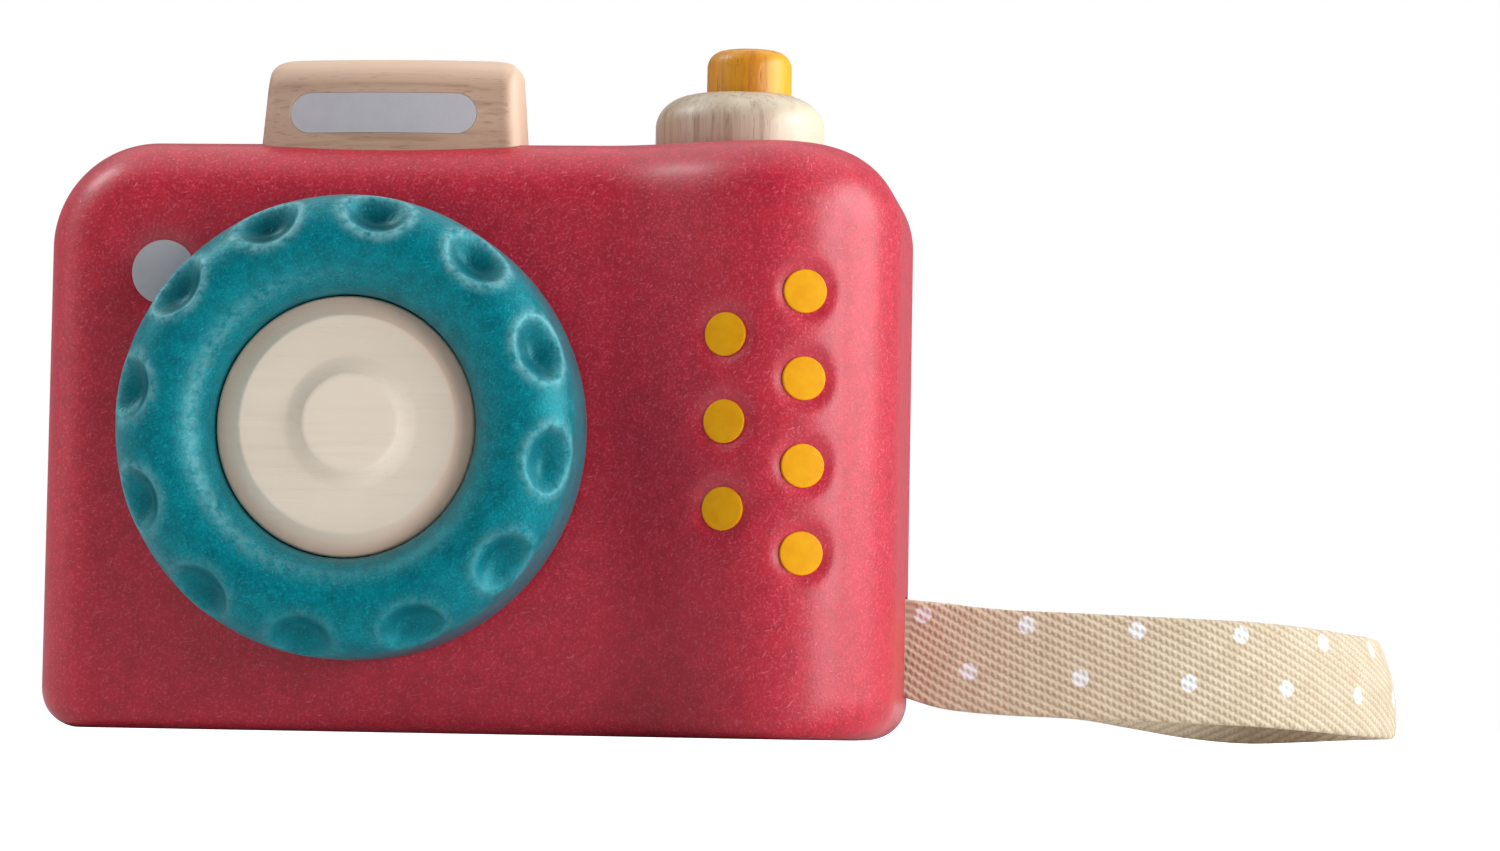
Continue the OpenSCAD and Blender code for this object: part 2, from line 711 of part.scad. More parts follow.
module shutter_collar() {
    flat_r = collar_d / 2 - collar_round_w;
    color([0.86, 0.76, 0.64]) difference() {
        translate([collar_x, shutter_y, 0]) union() {
            translate([0, 0, spigot_z]) cylinder(h = collar_spigot_l, d = collar_spigot_d);
            rotate_extrude() polygon(concat(
                [[0, body_h], [collar_d / 2, body_h]],
                [for (i = [0 : corner_steps]) let (a = 90 * i / corner_steps)
                    [flat_r + collar_round_w * cos(a), collar_top - collar_round_h * (1 - sin(a))]],
                [[0, collar_top]]
            ));
        }
        translate([button_x, shutter_y, spigot_z - cut])
            cylinder(h = collar_spigot_l + collar_h + 2 * cut, d = button_d + 2 * button_play);
    }
}

module shutter_button() {
    r = button_d / 2;
    top = collar_top + button_proud;
    color([0.93, 0.66, 0.1]) translate([button_x, shutter_y, 0]) rotate_extrude() union() {
        translate([0, foot_z]) square([button_foot_d / 2, button_foot_t]);
        translate([0, foot_z]) square([r, top - button_round - foot_z]);
        translate([0, foot_z]) square([r - button_round, top - foot_z]);
        translate([r - button_round, top - button_round]) circle(button_round);
    }
}

// Return spring: a helix of wire whose ends lie flat on the chamber and under the foot
spring_rings = 8; // rings of points to each turn
spring_sides = 6;
spring_flat = 0.3 / spring_turns; // share of the wire that lies flat at each end
spring_rise = spring_l - spring_wire - 2 * foot_gap;
function spring_height(t) =
    spring_rise * min(1, max(0, (t - spring_flat) / (1 - 2 * spring_flat)));
function spring_middle(t) =
    [spring_d / 2 * cos(360 * spring_turns * t), spring_d / 2 * sin(360 * spring_turns * t),
     spring_wire / 2 + foot_gap + spring_height(t)];

module button_spring() {
    count = spring_turns * spring_rings;
    sections = [for (j = [0 : count]) let (t = j / count, a = 360 * spring_turns * t, c = spring_middle(t))
        [for (i = [0 : spring_sides - 1]) let (b = 360 * i / spring_sides + 30)
            c + spring_wire / 2 * [cos(b) * cos(a), cos(b) * sin(a), sin(b)]]];
    color("silver") translate([button_x, shutter_y, chamber_z]) loft(sections);
}

module flash_block() {
    color([0.8, 0.68, 0.56]) difference() {
        block_form();
        window_prism(inlay_gap);
        flash_dowel_places() translate([0, 0, block_foot_z - cut])
            cylinder(h = dowel_in_block + cut, d = dowel_d + 2 * glue_gap);
    }
}

module flash_dowels() {
    color([0.85, 0.75, 0.62]) flash_dowel_places()
        translate([0, 0, body_h - wall]) cylinder(h = wall - block_sink + dowel_in_block, d = dowel_d);
}

module flash_window() {
    color([0.65, 0.64, 0.66]) intersection() {
        window_prism(0);
        block_form();
    }
}

module sensor_dot() {
    color([0.62, 0.61, 0.64]) on_front(-half_w + sensor_inset, sensor_z)
        translate([0, 0, -dot_depth(sensor_dimple_r, dimple_depth, sensor_d) - grip_dot_t])
            cylinder(h = grip_dot_t, d = sensor_d);
}

module grip_dots() {
    color([0.94, 0.68, 0.12]) for (p = grip_dot_places) on_front(p[0], p[1])
        translate([0, 0, -dot_depth(dimple_r, dimple_depth, grip_dot_d) - grip_dot_t])
            cylinder(h = grip_dot_t, d = grip_dot_d);
}

// Point of a smooth curve between b and c, with a and d as its neighbours
function curve_point(a, b, c, d, t) =
    0.5 * (2 * b + (c - a) * t + (2 * a - 5 * b + 4 * c - d) * t * t + (3 * b - a - 3 * c + d) * t * t * t);
strap_last = len(strap_route) - 1;
strap_curve = concat(
    [for (i = [0 : strap_last - 1]) for (k = [0 : strap_sub - 1])
        curve_point(strap_route[max(i - 1, 0)], strap_route[i], strap_route[i + 1],
            strap_route[min(i + 2, strap_last)], k / strap_sub)],
    [strap_route[strap_last]]
);
function unit(v) = v / norm(v);

// Width of the tape, which the slot gathers at both ends
gather_l = 8;
function tape_width(from_end) =
    strap_slot_w + (strap_w - strap_slot_w) * smooth_rise(min(1, from_end / gather_l));

function tape_section(i) =
    let (
        n = len(strap_curve) - 1,
        p = strap_curve[i],
        q = strap_curve[max(i - 1, 0)],
        r = strap_curve[min(i + 1, n)],
        ends = i == 0 || i == n,
        run = ends ? [i == 0 ? 1 : -1, 0, 0] : unit([r[0] - q[0], r[1] - q[1], r[2] - q[2]]),
        lean = [-sin(p[3]), 0, cos(p[3])],
        side = unit(cross(run, lean)),
        up = cross(side, run),
        w = tape_width(p[0]) / 2,
        h = strap_t / 2,
        bevel = strap_t / 4
    )
    [for (c = [[-w, -h + bevel], [-w + bevel, -h], [w - bevel, -h], [w, -h + bevel],
               [w, h - bevel], [w - bevel, h], [-w + bevel, h], [-w, h - bevel]])
        [half_w + p[0], strap_y + p[1], p[2]] + c[0] * up + c[1] * side];

module strap() {
    color([0.84, 0.76, 0.62]) loft([for (i = [0 : len(strap_curve) - 1]) tape_section(i)]);
}

module strap_ends() {
    color([0.8, 0.72, 0.58]) translate([0, 0, strap_z - strap_slot_w / 2]) linear_extrude(strap_slot_w)
        translate([pin_x, strap_y]) difference() {
            union() {
                circle(tape_ring_r);
                for (s = [-1, 1]) translate([0, s * (strap_split + strap_t) / 2 - strap_t / 2])
                    square([strap_pin_inset, strap_t]);
            }
            circle(strap_pin_d / 2 + glue_gap);
        }
}

module strap_pin() {
    color([0.82, 0.72, 0.6]) translate([pin_x, strap_y, strap_z - slot_h / 2])
        cylinder(h = slot_h, d = strap_pin_d);
}

front_shell();
back_cover();
cover_screws();
lens_hub();
lens_ring();
lens_disc();
felt_washer();
hub_washer();
hub_screw();
shutter_collar();
shutter_button();
button_spring();
flash_block();
flash_dowels();
flash_window();
sensor_dot();
grip_dots();
strap();
strap_ends();
strap_pin();
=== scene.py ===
import math

import bmesh
import bpy
import numpy as np
from mathutils import Matrix, Vector


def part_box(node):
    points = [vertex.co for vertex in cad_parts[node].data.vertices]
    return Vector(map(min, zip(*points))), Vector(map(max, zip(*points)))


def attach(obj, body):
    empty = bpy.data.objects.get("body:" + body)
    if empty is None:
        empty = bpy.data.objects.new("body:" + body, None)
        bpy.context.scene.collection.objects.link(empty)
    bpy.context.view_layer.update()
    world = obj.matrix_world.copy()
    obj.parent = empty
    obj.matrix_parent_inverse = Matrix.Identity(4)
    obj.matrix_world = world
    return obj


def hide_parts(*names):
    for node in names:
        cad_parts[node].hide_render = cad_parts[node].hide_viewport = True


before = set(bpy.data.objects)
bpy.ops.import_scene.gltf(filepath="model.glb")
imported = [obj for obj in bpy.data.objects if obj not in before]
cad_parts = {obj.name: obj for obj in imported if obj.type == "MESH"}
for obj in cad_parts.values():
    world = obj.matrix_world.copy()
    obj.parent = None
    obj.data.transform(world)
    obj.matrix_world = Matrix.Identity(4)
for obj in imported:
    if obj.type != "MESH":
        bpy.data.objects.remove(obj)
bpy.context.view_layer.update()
MM = 0.001

# Camera of the photograph, whose frame is 1500 by 851 pixels
PHOTO_W = 1500
FOCAL_PX = 4631.0
SENSOR = 36.0
CAMERA_AT = (102.1 * MM, -639.7 * MM, 2.8 * MM)
CAMERA_YAW = math.radians(5.61)
CAMERA_PITCH = math.radians(3.62)
CAMERA_ROLL = math.radians(0.99)

# Body
SHELL_LOW, SHELL_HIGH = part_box("front_shell")
COVER_LOW, COVER_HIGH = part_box("back_cover")
BODY_H = SHELL_HIGH.z
HALF_W = SHELL_HIGH.x
BACK_Y = COVER_HIGH.y
COVER_Y = COVER_LOW.y
BODY_D = 38 * MM
FRONT_Y = BACK_Y - BODY_D
TOP_CORNER_R = 15 * MM
GRIP_CORNER_R = 12 * MM
BOTTOM_CORNER_R = 5.5 * MM
FRONT_EDGE_R = 9 * MM
TOP_STEP = 0.01 * MM
BACK_EDGE_R = 4 * MM
BASE_EDGE_R = 2.5 * MM
WALL = 8 * MM
FRONT_WALL = 7 * MM
GRIP_SWELL = FRONT_Y - SHELL_LOW.y
GRIP_RIDGE_INSET = 17.5 * MM
GRIP_FLANK_W = 24.5 * MM
GRIP_SIDE_D = 17 * MM
RIDGE_X = HALF_W - GRIP_RIDGE_INSET
FLANK_X = RIDGE_X - GRIP_FLANK_W

# Dots and the hollows that they lie in
DOT_D = 6 * MM
DOT_T = 0.8 * MM
DOT_RIM_R = 0.2 * MM
DOT_PROUD = 0.12 * MM
DOT_PITCH = 11.9 * MM
DOT_COL_GAP = 11.3 * MM
DOT_Z = 43.1 * MM
DOTS_OUTER = 4
DOT_HOLLOW_R = 8 * MM
HOLLOW_DEPTH = 1.2 * MM
HOLLOW_SOFT = 0.5 * MM
HOLLOW_REACH = 0.96
HOLLOW_NEAR = 6 * MM
HOLLOW_BACK = 8 * MM
SENSOR_D = 9 * MM
SENSOR_X = -HALF_W + 17.6 * MM
SENSOR_Z = 63.5 * MM
SENSOR_HOLLOW_R = 14 * MM

# Lens
LENS_X = -13.5 * MM
LENS_Z = 41.3 * MM
RING_R = 31.5 * MM
RING_STANDOFF = 21 * MM
RING_REAR_R = 2.5 * MM
RING_BORE_R = 12 * MM
RING_BACK = 1.1 * MM
RING_WEB_FRONT = 7.1 * MM
DISC_R = 17.75 * MM
DISC_GAP = 0.15 * MM
DISC_BACK = 7.4 * MM
DISC_FRONT = 16.2 * MM
DISC_RIM_W = 3 * MM
DISC_RIM_H = 1.9 * MM
DISC_RIM_R = 0.9 * MM
SEAT_R = DISC_R + DISC_GAP
CROWN_R = (RING_R - SEAT_R) / 2
CROWN_O = RING_STANDOFF - CROWN_R
CROWN_BELOW = 3 * MM
CROWN_INSIDE = 2 * MM
PUPIL_R = 9.2 * MM
PUPIL_TOP_R = 6.5 * MM
PUPIL_TIP_R = 0.5 * MM
PUPIL_H = 1.2 * MM
PUPIL_CURVE = 1.5
PUPIL_OFF = Vector((1.1 * MM, 0.4 * MM))
SPIGOT_R = 8.05 * MM
SPIGOT_L = 5 * MM
HUB_HOLE_R = 9.05 * MM
SCALLOPS = 12
SCALLOP_START = math.radians(21)
SCALLOP_TILT = math.radians(48)
SCALLOP_DEPTH = 2.7 * MM
SCALLOP_HALF_ROUND = 4.5 * MM
SCALLOP_HALF_UP = 3.7 * MM
SCALLOP_SOFT = 0.25 * MM
# Painted highlight band on the ring's inner slope: its tilt on the crown, its width, the side where it is
# strongest and its share
HIGHLIGHT_BAND_TILT = math.radians(130)
HIGHLIGHT_BAND_WIDTH = math.radians(11)
HIGHLIGHT_BAND_SIDE = math.radians(190)
HIGHLIGHT_BAND_SHARE = 0.6
# Lips of the hollows: where they lie, their width and rise, and the least share of wear with painted
# highlight on the lower hollows
LIP_AT = 1.08
LIP_WIDTH = 0.2
LIP_RISE = 0.1 * MM
LIP_LEAST = 0.15
# Stain with painted shade in the hollows: its reach, and its least share on the lower hollows
STAIN_AND_SHADE_REACH = 1.1
STAIN_AND_SHADE_LEAST = 0.25

# Shutter
COLLAR_X = HALF_W - 24 * MM
BUTTON_X = COLLAR_X + 1.2 * MM
SHUTTER_Y = FRONT_Y + 20 * MM
COLLAR_R = 12 * MM
COLLAR_TOP = BODY_H + 8.4 * MM
COLLAR_ROUND_W = 5.6 * MM
COLLAR_ROUND_H = 4.6 * MM
COLLAR_ROUND_END = 84
COLLAR_EDGE = 0.35 * MM
COLLAR_SPIGOT_R = 10 * MM
COLLAR_SPIGOT_Z = BODY_H - 8 * MM
COLLAR_BORE_R = 6.25 * MM
BUTTON_R = 6 * MM
BUTTON_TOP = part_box("shutter_button")[1].z
BUTTON_FOOT_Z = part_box("shutter_button")[0].z
BUTTON_FOOT_R = 7.8 * MM
BUTTON_FOOT_T = 3 * MM
BUTTON_ROUND = 2.4 * MM
BUTTON_TIP_R = 0.4 * MM

# Flash block
BLOCK_X = -12 * MM
BLOCK_W = 36.7 * MM
BLOCK_D = 14 * MM
BLOCK_H = 12.2 * MM
BLOCK_Y = FRONT_Y + 4.4 * MM
BLOCK_DRAFT = math.radians(4)
BLOCK_ROUND = 2.4 * MM
BLOCK_BROW = 5 * MM
BLOCK_BOW = 1.2 * MM
BLOCK_SINK = 4 * MM
BLOCK_GAP = 0.12 * MM
# Share of painted light on the top of the brow
BLOCK_BROW_PAINTED_LIGHT = 0.8
DOWEL_R = 3.05 * MM
DOWEL_PITCH = 20 * MM
DOWEL_IN_BLOCK = 9 * MM
WINDOW_X = BLOCK_X - 0.8 * MM
WINDOW_W = 26.4 * MM
WINDOW_H = 5.7 * MM
WINDOW_Z = BODY_H + 3.95 * MM
WINDOW_T = 0.4 * MM
INLAY_GAP = 0.05 * MM
CUT_OVER = 1 * MM

# Back cover
COVER_INSET = 5.5 * MM
COVER_GAP = 0.2 * MM
COVER_EDGE = 0.5 * MM
COVER_CORNER_R = 3 * MM
SCREW_R = 1.55 * MM
SCREW_HEAD_R = 2.85 * MM
SCREW_HEAD_DEPTH = 2.2 * MM
SCREW_INSET = 11.5 * MM
SCREW_LOW_INSET = 26 * MM
SCREW_LOW_Z = 11.5 * MM
SCREW_ROWS = ((SCREW_INSET, BODY_H - SCREW_INSET), (SCREW_LOW_INSET, SCREW_LOW_Z))

# Wrist loop: the route's points are right of the side, behind the slot, height and lean in degrees
STRAP_W = 15 * MM
STRAP_SLOT_W = 13.8 * MM
STRAP_T = 1.2 * MM
STRAP_Y = BACK_Y - 8 * MM
STRAP_Z = 13.3 * MM
SLOT_H = 14.4 * MM
SLOT_W = 3.3 * MM
STRAP_GATHER = 8 * MM
STRAP_EDGE_SHARE = 0.25
STRAP_EDGE_POWER = 24
STRAP_ROUTE_MM = (
    (0, -0.75, 13.3, 0), (6, -0.9, 12.1, 0), (14, -0.4, 11.4, 0), (24, 0.9, 11.1, 0),
    (34, 3, 10.8, 0), (42, 5.8, 10.6, 0), (49.2, 9.6, 10.4, 2), (55.2, 14.2, 10, 4),
    (60.2, 19.8, 9.6, 6), (64.2, 26, 9.2, 8), (67.2, 33, 9, 9), (69, 40, 8.8, 10),
    (69.2, 46.8, 8.7, 10), (67.2, 52.8, 8.6, 9), (62.6, 57, 8.4, 7), (56, 58.6, 8, 5),
    (48.6, 57, 7.75, 3), (40.4, 51.4, 8.4, 1), (32.4, 43, 9.7, 0), (25, 33.4, 10.9, 0),
    (18, 23, 11.3, 0), (11.4, 12.8, 11.7, 0), (6, 4.8, 12.3, 0), (2.6, 1.7, 12.95, 0),
    (0, 0.75, 13.3, 0),
)
STRAP_BELLY = 1.1 * MM
TWILL_PITCH = 1.12 * MM
TWILL_ANGLE = math.radians(22)
TWILL_DEPTH = 0.13 * MM
BEAD_PITCH = 0.95 * MM
BEAD_SLANT = 0.55
BEAD_WAVE = 0.07
POLKA_PITCH = 15.8 * MM
POLKA_START = 1.5 * MM
POLKA_ROWS = (5.5 * MM, -1.75 * MM)
POLKA_R = 1.25 * MM
POLKA_RIM_OUT = 0.45 * MM
POLKA_RIM_IN = 0.1 * MM
POLKA_RAGGED = 0.55 * MM

# Fineness: parts of a stretch, points round a turned form and longest steps
EDGE_PARTS = 20
FRONT_PARTS = 100
GRIP_PARTS = 60
SIDE_PARTS = 24
BACK_EDGE_PARTS = 12
BACK_PARTS = 40
BASE_PARTS = 14
HEIGHT_PARTS = 140
TOP_PARTS = 44
PUPIL_PARTS = 16
BLOCK_CORNER_PARTS = 12
BLOCK_BOW_PARTS = 24
BLOCK_SIDE_PARTS = 8
BLOCK_BROW_PARTS = 20
ROUTE_PARTS = 24
STRAP_COLUMNS = 66
RING_SEGMENTS = 720
TURNED_SEGMENTS = 192
BUTTON_SEGMENTS = 128
DOT_SEGMENTS = 64
RING_STEP = 1.2 * MM
DISC_STEP = 0.6 * MM
BUTTON_STEP = 0.8 * MM
STRAP_STEP = 0.22 * MM

# Angles in degrees above which an edge stays crisp
SHARP_CUT = 40
SHARP_COVER = 35
SHARP_TURNED = 50
SHARP_TAPE = 60

# Range of a normal's X over which painted light makes a side turned to the right paler
LIT_RANGE = (0.35, 0.75)

# Light: the room's brightness in front and elsewhere, the floor, and each lamp's place, size and power
LAMP_AIM_Z = 45 * MM
FLOOR_HALF = 4.0
FLOOR_GREY = 0.84
FLOOR_GLOW = 0.85
ROOM_FRONT = 0.15
ROOM_AROUND = 0.3
LAMPS = (
    ("key_right", (0.94, 0.0, 0.387), (0.6, 0.6), 6.9),
    ("glint_right", (0.89, -0.34, 0.38), (0.22, 0.22), 1.4),
    ("low_right", (0.809, -0.567, 0.165), (0.42, 0.3), 3.1),
    ("overhead", (0.0, 0.174, 1.03), (1.4, 1.4), 5.3),
    ("glint_left", (-0.69, -0.06, 0.765), (0.3, 0.3), 3.4),
    ("left_side", (-0.925, -0.163, 0.387), (0.6, 0.6), 1.0),
)


# Node helpers

def connect(tree, value, socket):
    """Links another node's socket to an input, or sets a plain value there."""
    if isinstance(value, bpy.types.NodeSocket):
        tree.links.new(value, socket)
    else:
        socket.default_value = value


def add(tree, kind, inputs=(), **settings):
    """New shader node with its settings and inputs; an input is a value or another node's socket."""
    node = tree.nodes.new(kind)
    for name, value in settings.items():
        setattr(node, name, value)
    for name, value in dict(inputs).items():
        connect(tree, value, node.inputs[name])
    return node


def new_material(name, **shader):
    """Material with a Principled shader whose constant sockets are set; returns it, its tree and shader."""
    material = bpy.data.materials.new(name)
    material.use_nodes = True
    tree = material.node_tree
    bsdf = tree.nodes["Principled BSDF"]
    for socket, value in shader.items():
        bsdf.inputs[socket.replace("_", " ")].default_value = value
    return material, tree, bsdf


def place(tree):
    """Point in the object's own frame."""
    return add(tree, "ShaderNodeTexCoord").outputs["Object"]


def noise(tree, vector, scale=1.0, detail=2.0, rough=0.5, twist=0.0):
    """Value of a noise texture at a point."""
    inputs = {"Vector": vector, "Scale": scale, "Detail": detail, "Roughness": rough, "Distortion": twist}
    return add(tree, "ShaderNodeTexNoise", inputs).outputs["Fac"]


def stretched(tree, vector, stretch, turn=(0.0, 0.0, 0.0)):
    """Coordinates turned and then scaled apart, so that a texture runs in one direction."""
    turned = add(tree, "ShaderNodeMapping", {"Vector": vector, "Rotation": turn})
    return add(tree, "ShaderNodeMapping", {"Vector": turned.outputs[0], "Scale": stretch}).outputs[0]


def span(tree, value, low, high, to_low=0.0, to_high=1.0):
    """Value taken from the range low to high onto another, and held at its ends."""
    inputs = {"Value": value, "From Min": low, "From Max": high, "To Min": to_low, "To Max": to_high}
    node = add(tree, "ShaderNodeMapRange", inputs, interpolation_type="SMOOTHSTEP")
    return node.outputs["Result"]


def math_node(tree, operation, *values):
    """Result of an operation on values or sockets."""
    node = add(tree, "ShaderNodeMath", operation=operation)
    for value, socket in zip(values, node.inputs):
        connect(tree, value, socket)
    return node.outputs[0]


def plus(tree, a, b):
    return math_node(tree, "ADD", a, b)


def less(tree, a, b):
    return math_node(tree, "SUBTRACT", a, b)


def times(tree, a, b):
    return math_node(tree, "MULTIPLY", a, b)


def largest(tree, values):
    """Largest of several values."""
    top = values[0]
    for value in values[1:]:
        top = math_node(tree, "MAXIMUM", top, value)
    return top


def wave_of(tree, turns):
    """Cosine that repeats at each whole turn."""
    return math_node(tree, "COSINE", times(tree, turns, 2 * math.pi))


def mix(tree, factor, a, b):
    """Colour between a and b; each is a colour or a socket."""
    node = add(tree, "ShaderNodeMix", data_type="RGBA")
    # Inputs 0, 6 and 7 are the factor and the colours, and output 2 is the mix
    for index, value in ((0, factor), (6, a), (7, b)):
        connect(tree, value, node.inputs[index])
    return node.outputs[2]


def rgb(r, g, b):
    """Linear colour of an sRGB colour given in 0 to 255."""
    def linear(c):
        c = c / 255
        return c / 12.92 if c <= 0.04045 else ((c + 0.055) / 1.055) ** 2.4
    return (linear(r), linear(g), linear(b), 1.0)


def attribute(tree, name):
    """Share that the mesh holds at each vertex."""
    return add(tree, "ShaderNodeAttribute", attribute_name=name).outputs["Fac"]


def coat(tree, bsdf, colour, grain, smooth, rough):
    """Base colour, and a roughness that follows the grain between two values."""
    tree.links.new(colour, bsdf.inputs["Base Color"])
    tree.links.new(span(tree, grain, 0.3, 0.7, smooth, rough), bsdf.inputs["Roughness"])


def bump(tree, bsdf, height, strength, distance):
    """Fine relief in the shading alone."""
    inputs = {"Height": height, "Strength": strength, "Distance": distance}
    tree.links.new(add(tree, "ShaderNodeBump", inputs).outputs[0], bsdf.inputs["Normal"])


# Materials

FIBRE_TURNS = ((0.3, 0.2, 0.1), (1.4, 0.5, 0.9), (0.7, 1.2, 2.2), (2.3, 0.9, 1.6))
FIBRE_SCALE = (720.0, 3000.0, 3000.0)
FIBRE_SHARE = 0.62
# Shares of pale wear with painted highlight, and of stain with painted shade in the hollows
WEAR_AND_HIGHLIGHT_SHARE = 0.55
STAIN_AND_SHADE_SHARE = 0.7
WAX_ROUGH = 0.26
WHITE = (1.0, 1.0, 1.0, 1.0)


def composite(
    name, base, dark, light, worn_and_highlight=None, deep=None, rough=0.36, sheen=0.5, sheen_tint=WHITE, wax=0.0,
):
    """Stained sawdust board: fine grain, short pale fibres, dark specks and a coat of wax."""
    material, tree, bsdf = new_material(
        name, Specular_IOR_Level=sheen, Specular_Tint=sheen_tint, Coat_Weight=wax, Coat_Roughness=WAX_ROUGH,
    )
    at = place(tree)
    mottle = span(tree, noise(tree, at, scale=420.0, detail=4.0, rough=0.65), 0.3, 0.72, to_high=0.55)
    grain = noise(tree, at, scale=2500.0, detail=3.0, rough=0.65)
    colour = mix(tree, mottle, base, dark)
    colour = mix(tree, span(tree, grain, 0.5, 0.72, to_high=0.38), colour, light)
    colour = mix(tree, span(tree, grain, 0.46, 0.28, to_high=0.45), colour, dark)
    flecks = []
    for turn in FIBRE_TURNS:
        along = stretched(tree, at, FIBRE_SCALE, turn)
        flecks.append(span(tree, noise(tree, along, detail=1.0), 0.66, 0.82))
    fibres = largest(tree, flecks)
    colour = mix(tree, times(tree, fibres, FIBRE_SHARE), colour, light)
    specks = span(tree, noise(tree, at, scale=2900.0, detail=1.0), 0.69, 0.78, to_high=0.6)
    colour = mix(tree, specks, colour, dark)
    # Pale wear with painted highlight on the lips and the inner slope
    if worn_and_highlight is not None:
        patchy = span(tree, noise(tree, at, scale=900.0, detail=3.0, rough=0.6), 0.25, 0.65)
        worn_and_lit = times(tree, times(tree, attribute(tree, "wear_and_highlight"), patchy), WEAR_AND_HIGHLIGHT_SHARE)
        colour = mix(tree, worn_and_lit, colour, worn_and_highlight)
        # Stain with painted shade in the hollows
        colour = mix(tree, times(tree, attribute(tree, "hollow"), STAIN_AND_SHADE_SHARE), colour, deep)
    coat(tree, bsdf, colour, grain, rough - 0.05, rough + 0.1)
    relief = plus(tree, times(tree, fibres, 0.4), grain)
    bump(tree, bsdf, relief, strength=0.8, distance=0.08 * MM)
    return material


def natural_wood(name, light, mid, dark, axis, rough=0.5, pores=0.5, seed=0.0, gloss=0.35, painted_light=None):
    """Fine sanded wood: broad bands, long streaks and short pores along one axis, 0 to 2 for X to Z."""
    material, tree, bsdf = new_material(name, Specular_IOR_Level=gloss)
    moved = {"Vector": place(tree), "Location": (seed, seed, seed)}
    at = add(tree, "ShaderNodeMapping", moved).outputs[0]

    def run(near, across):
        return stretched(tree, at, tuple(near if i == axis else across for i in range(3)))

    bands = noise(tree, run(7.0, 150.0), detail=3.0, rough=0.55, twist=0.3)
    streaks = noise(tree, run(30.0, 900.0), detail=4.0, rough=0.6)
    pore = span(tree, noise(tree, run(330.0, 3600.0), detail=1.0), 0.62, 0.72)
    colour = mix(tree, span(tree, bands, 0.32, 0.68), light, mid)
    colour = mix(tree, span(tree, streaks, 0.48, 0.72, to_high=0.6), colour, dark)
    colour = mix(tree, times(tree, pore, pores), colour, dark)
    # Painted light: the colour that the mesh's share brings in
    if painted_light is not None:
        colour = mix(tree, attribute(tree, "painted_light"), colour, painted_light)
    coat(tree, bsdf, colour, streaks, rough - 0.06, rough + 0.1)
    bump(tree, bsdf, less(tree, times(tree, streaks, 0.6), pore), strength=0.2, distance=0.2 * MM)
    return material


def paint(name, base, shade, rough=0.45, gloss=0.25):
    """Brushed or printed coat with a slight mottle and a fine tooth."""
    material, tree, bsdf = new_material(name, Specular_IOR_Level=gloss)
    at = place(tree)
    cloud = noise(tree, at, scale=420.0, detail=4.0, rough=0.6)
    tooth = noise(tree, at, scale=3200.0)
    colour = mix(tree, span(tree, cloud, 0.35, 0.7, to_high=0.6), base, shade)
    colour = mix(tree, span(tree, tooth, 0.6, 0.75, to_high=0.35), colour, shade)
    coat(tree, bsdf, colour, tooth, rough - 0.05, rough + 0.1)
    bump(tree, bsdf, tooth, strength=0.12, distance=0.15 * MM)
    return material


def steel(name):
    """Zinc-plated steel with a faint haze."""
    material, tree, bsdf = new_material(name, Metallic=1.0)
    haze = noise(tree, place(tree), scale=900.0, detail=3.0)
    coat(tree, bsdf, mix(tree, haze, rgb(176, 178, 182), rgb(214, 215, 217)), haze, 0.25, 0.42)
    return material


def felt(name):
    """Matt grey felt."""
    material, tree, bsdf = new_material(name, Roughness=0.95, Specular_IOR_Level=0.1)
    fuzz = noise(tree, place(tree), scale=2600.0, detail=4.0, rough=0.7)
    tree.links.new(mix(tree, fuzz, rgb(52, 52, 55), rgb(84, 83, 86)), bsdf.inputs["Base Color"])
    bump(tree, bsdf, fuzz, strength=0.6, distance=0.3 * MM)
    return material


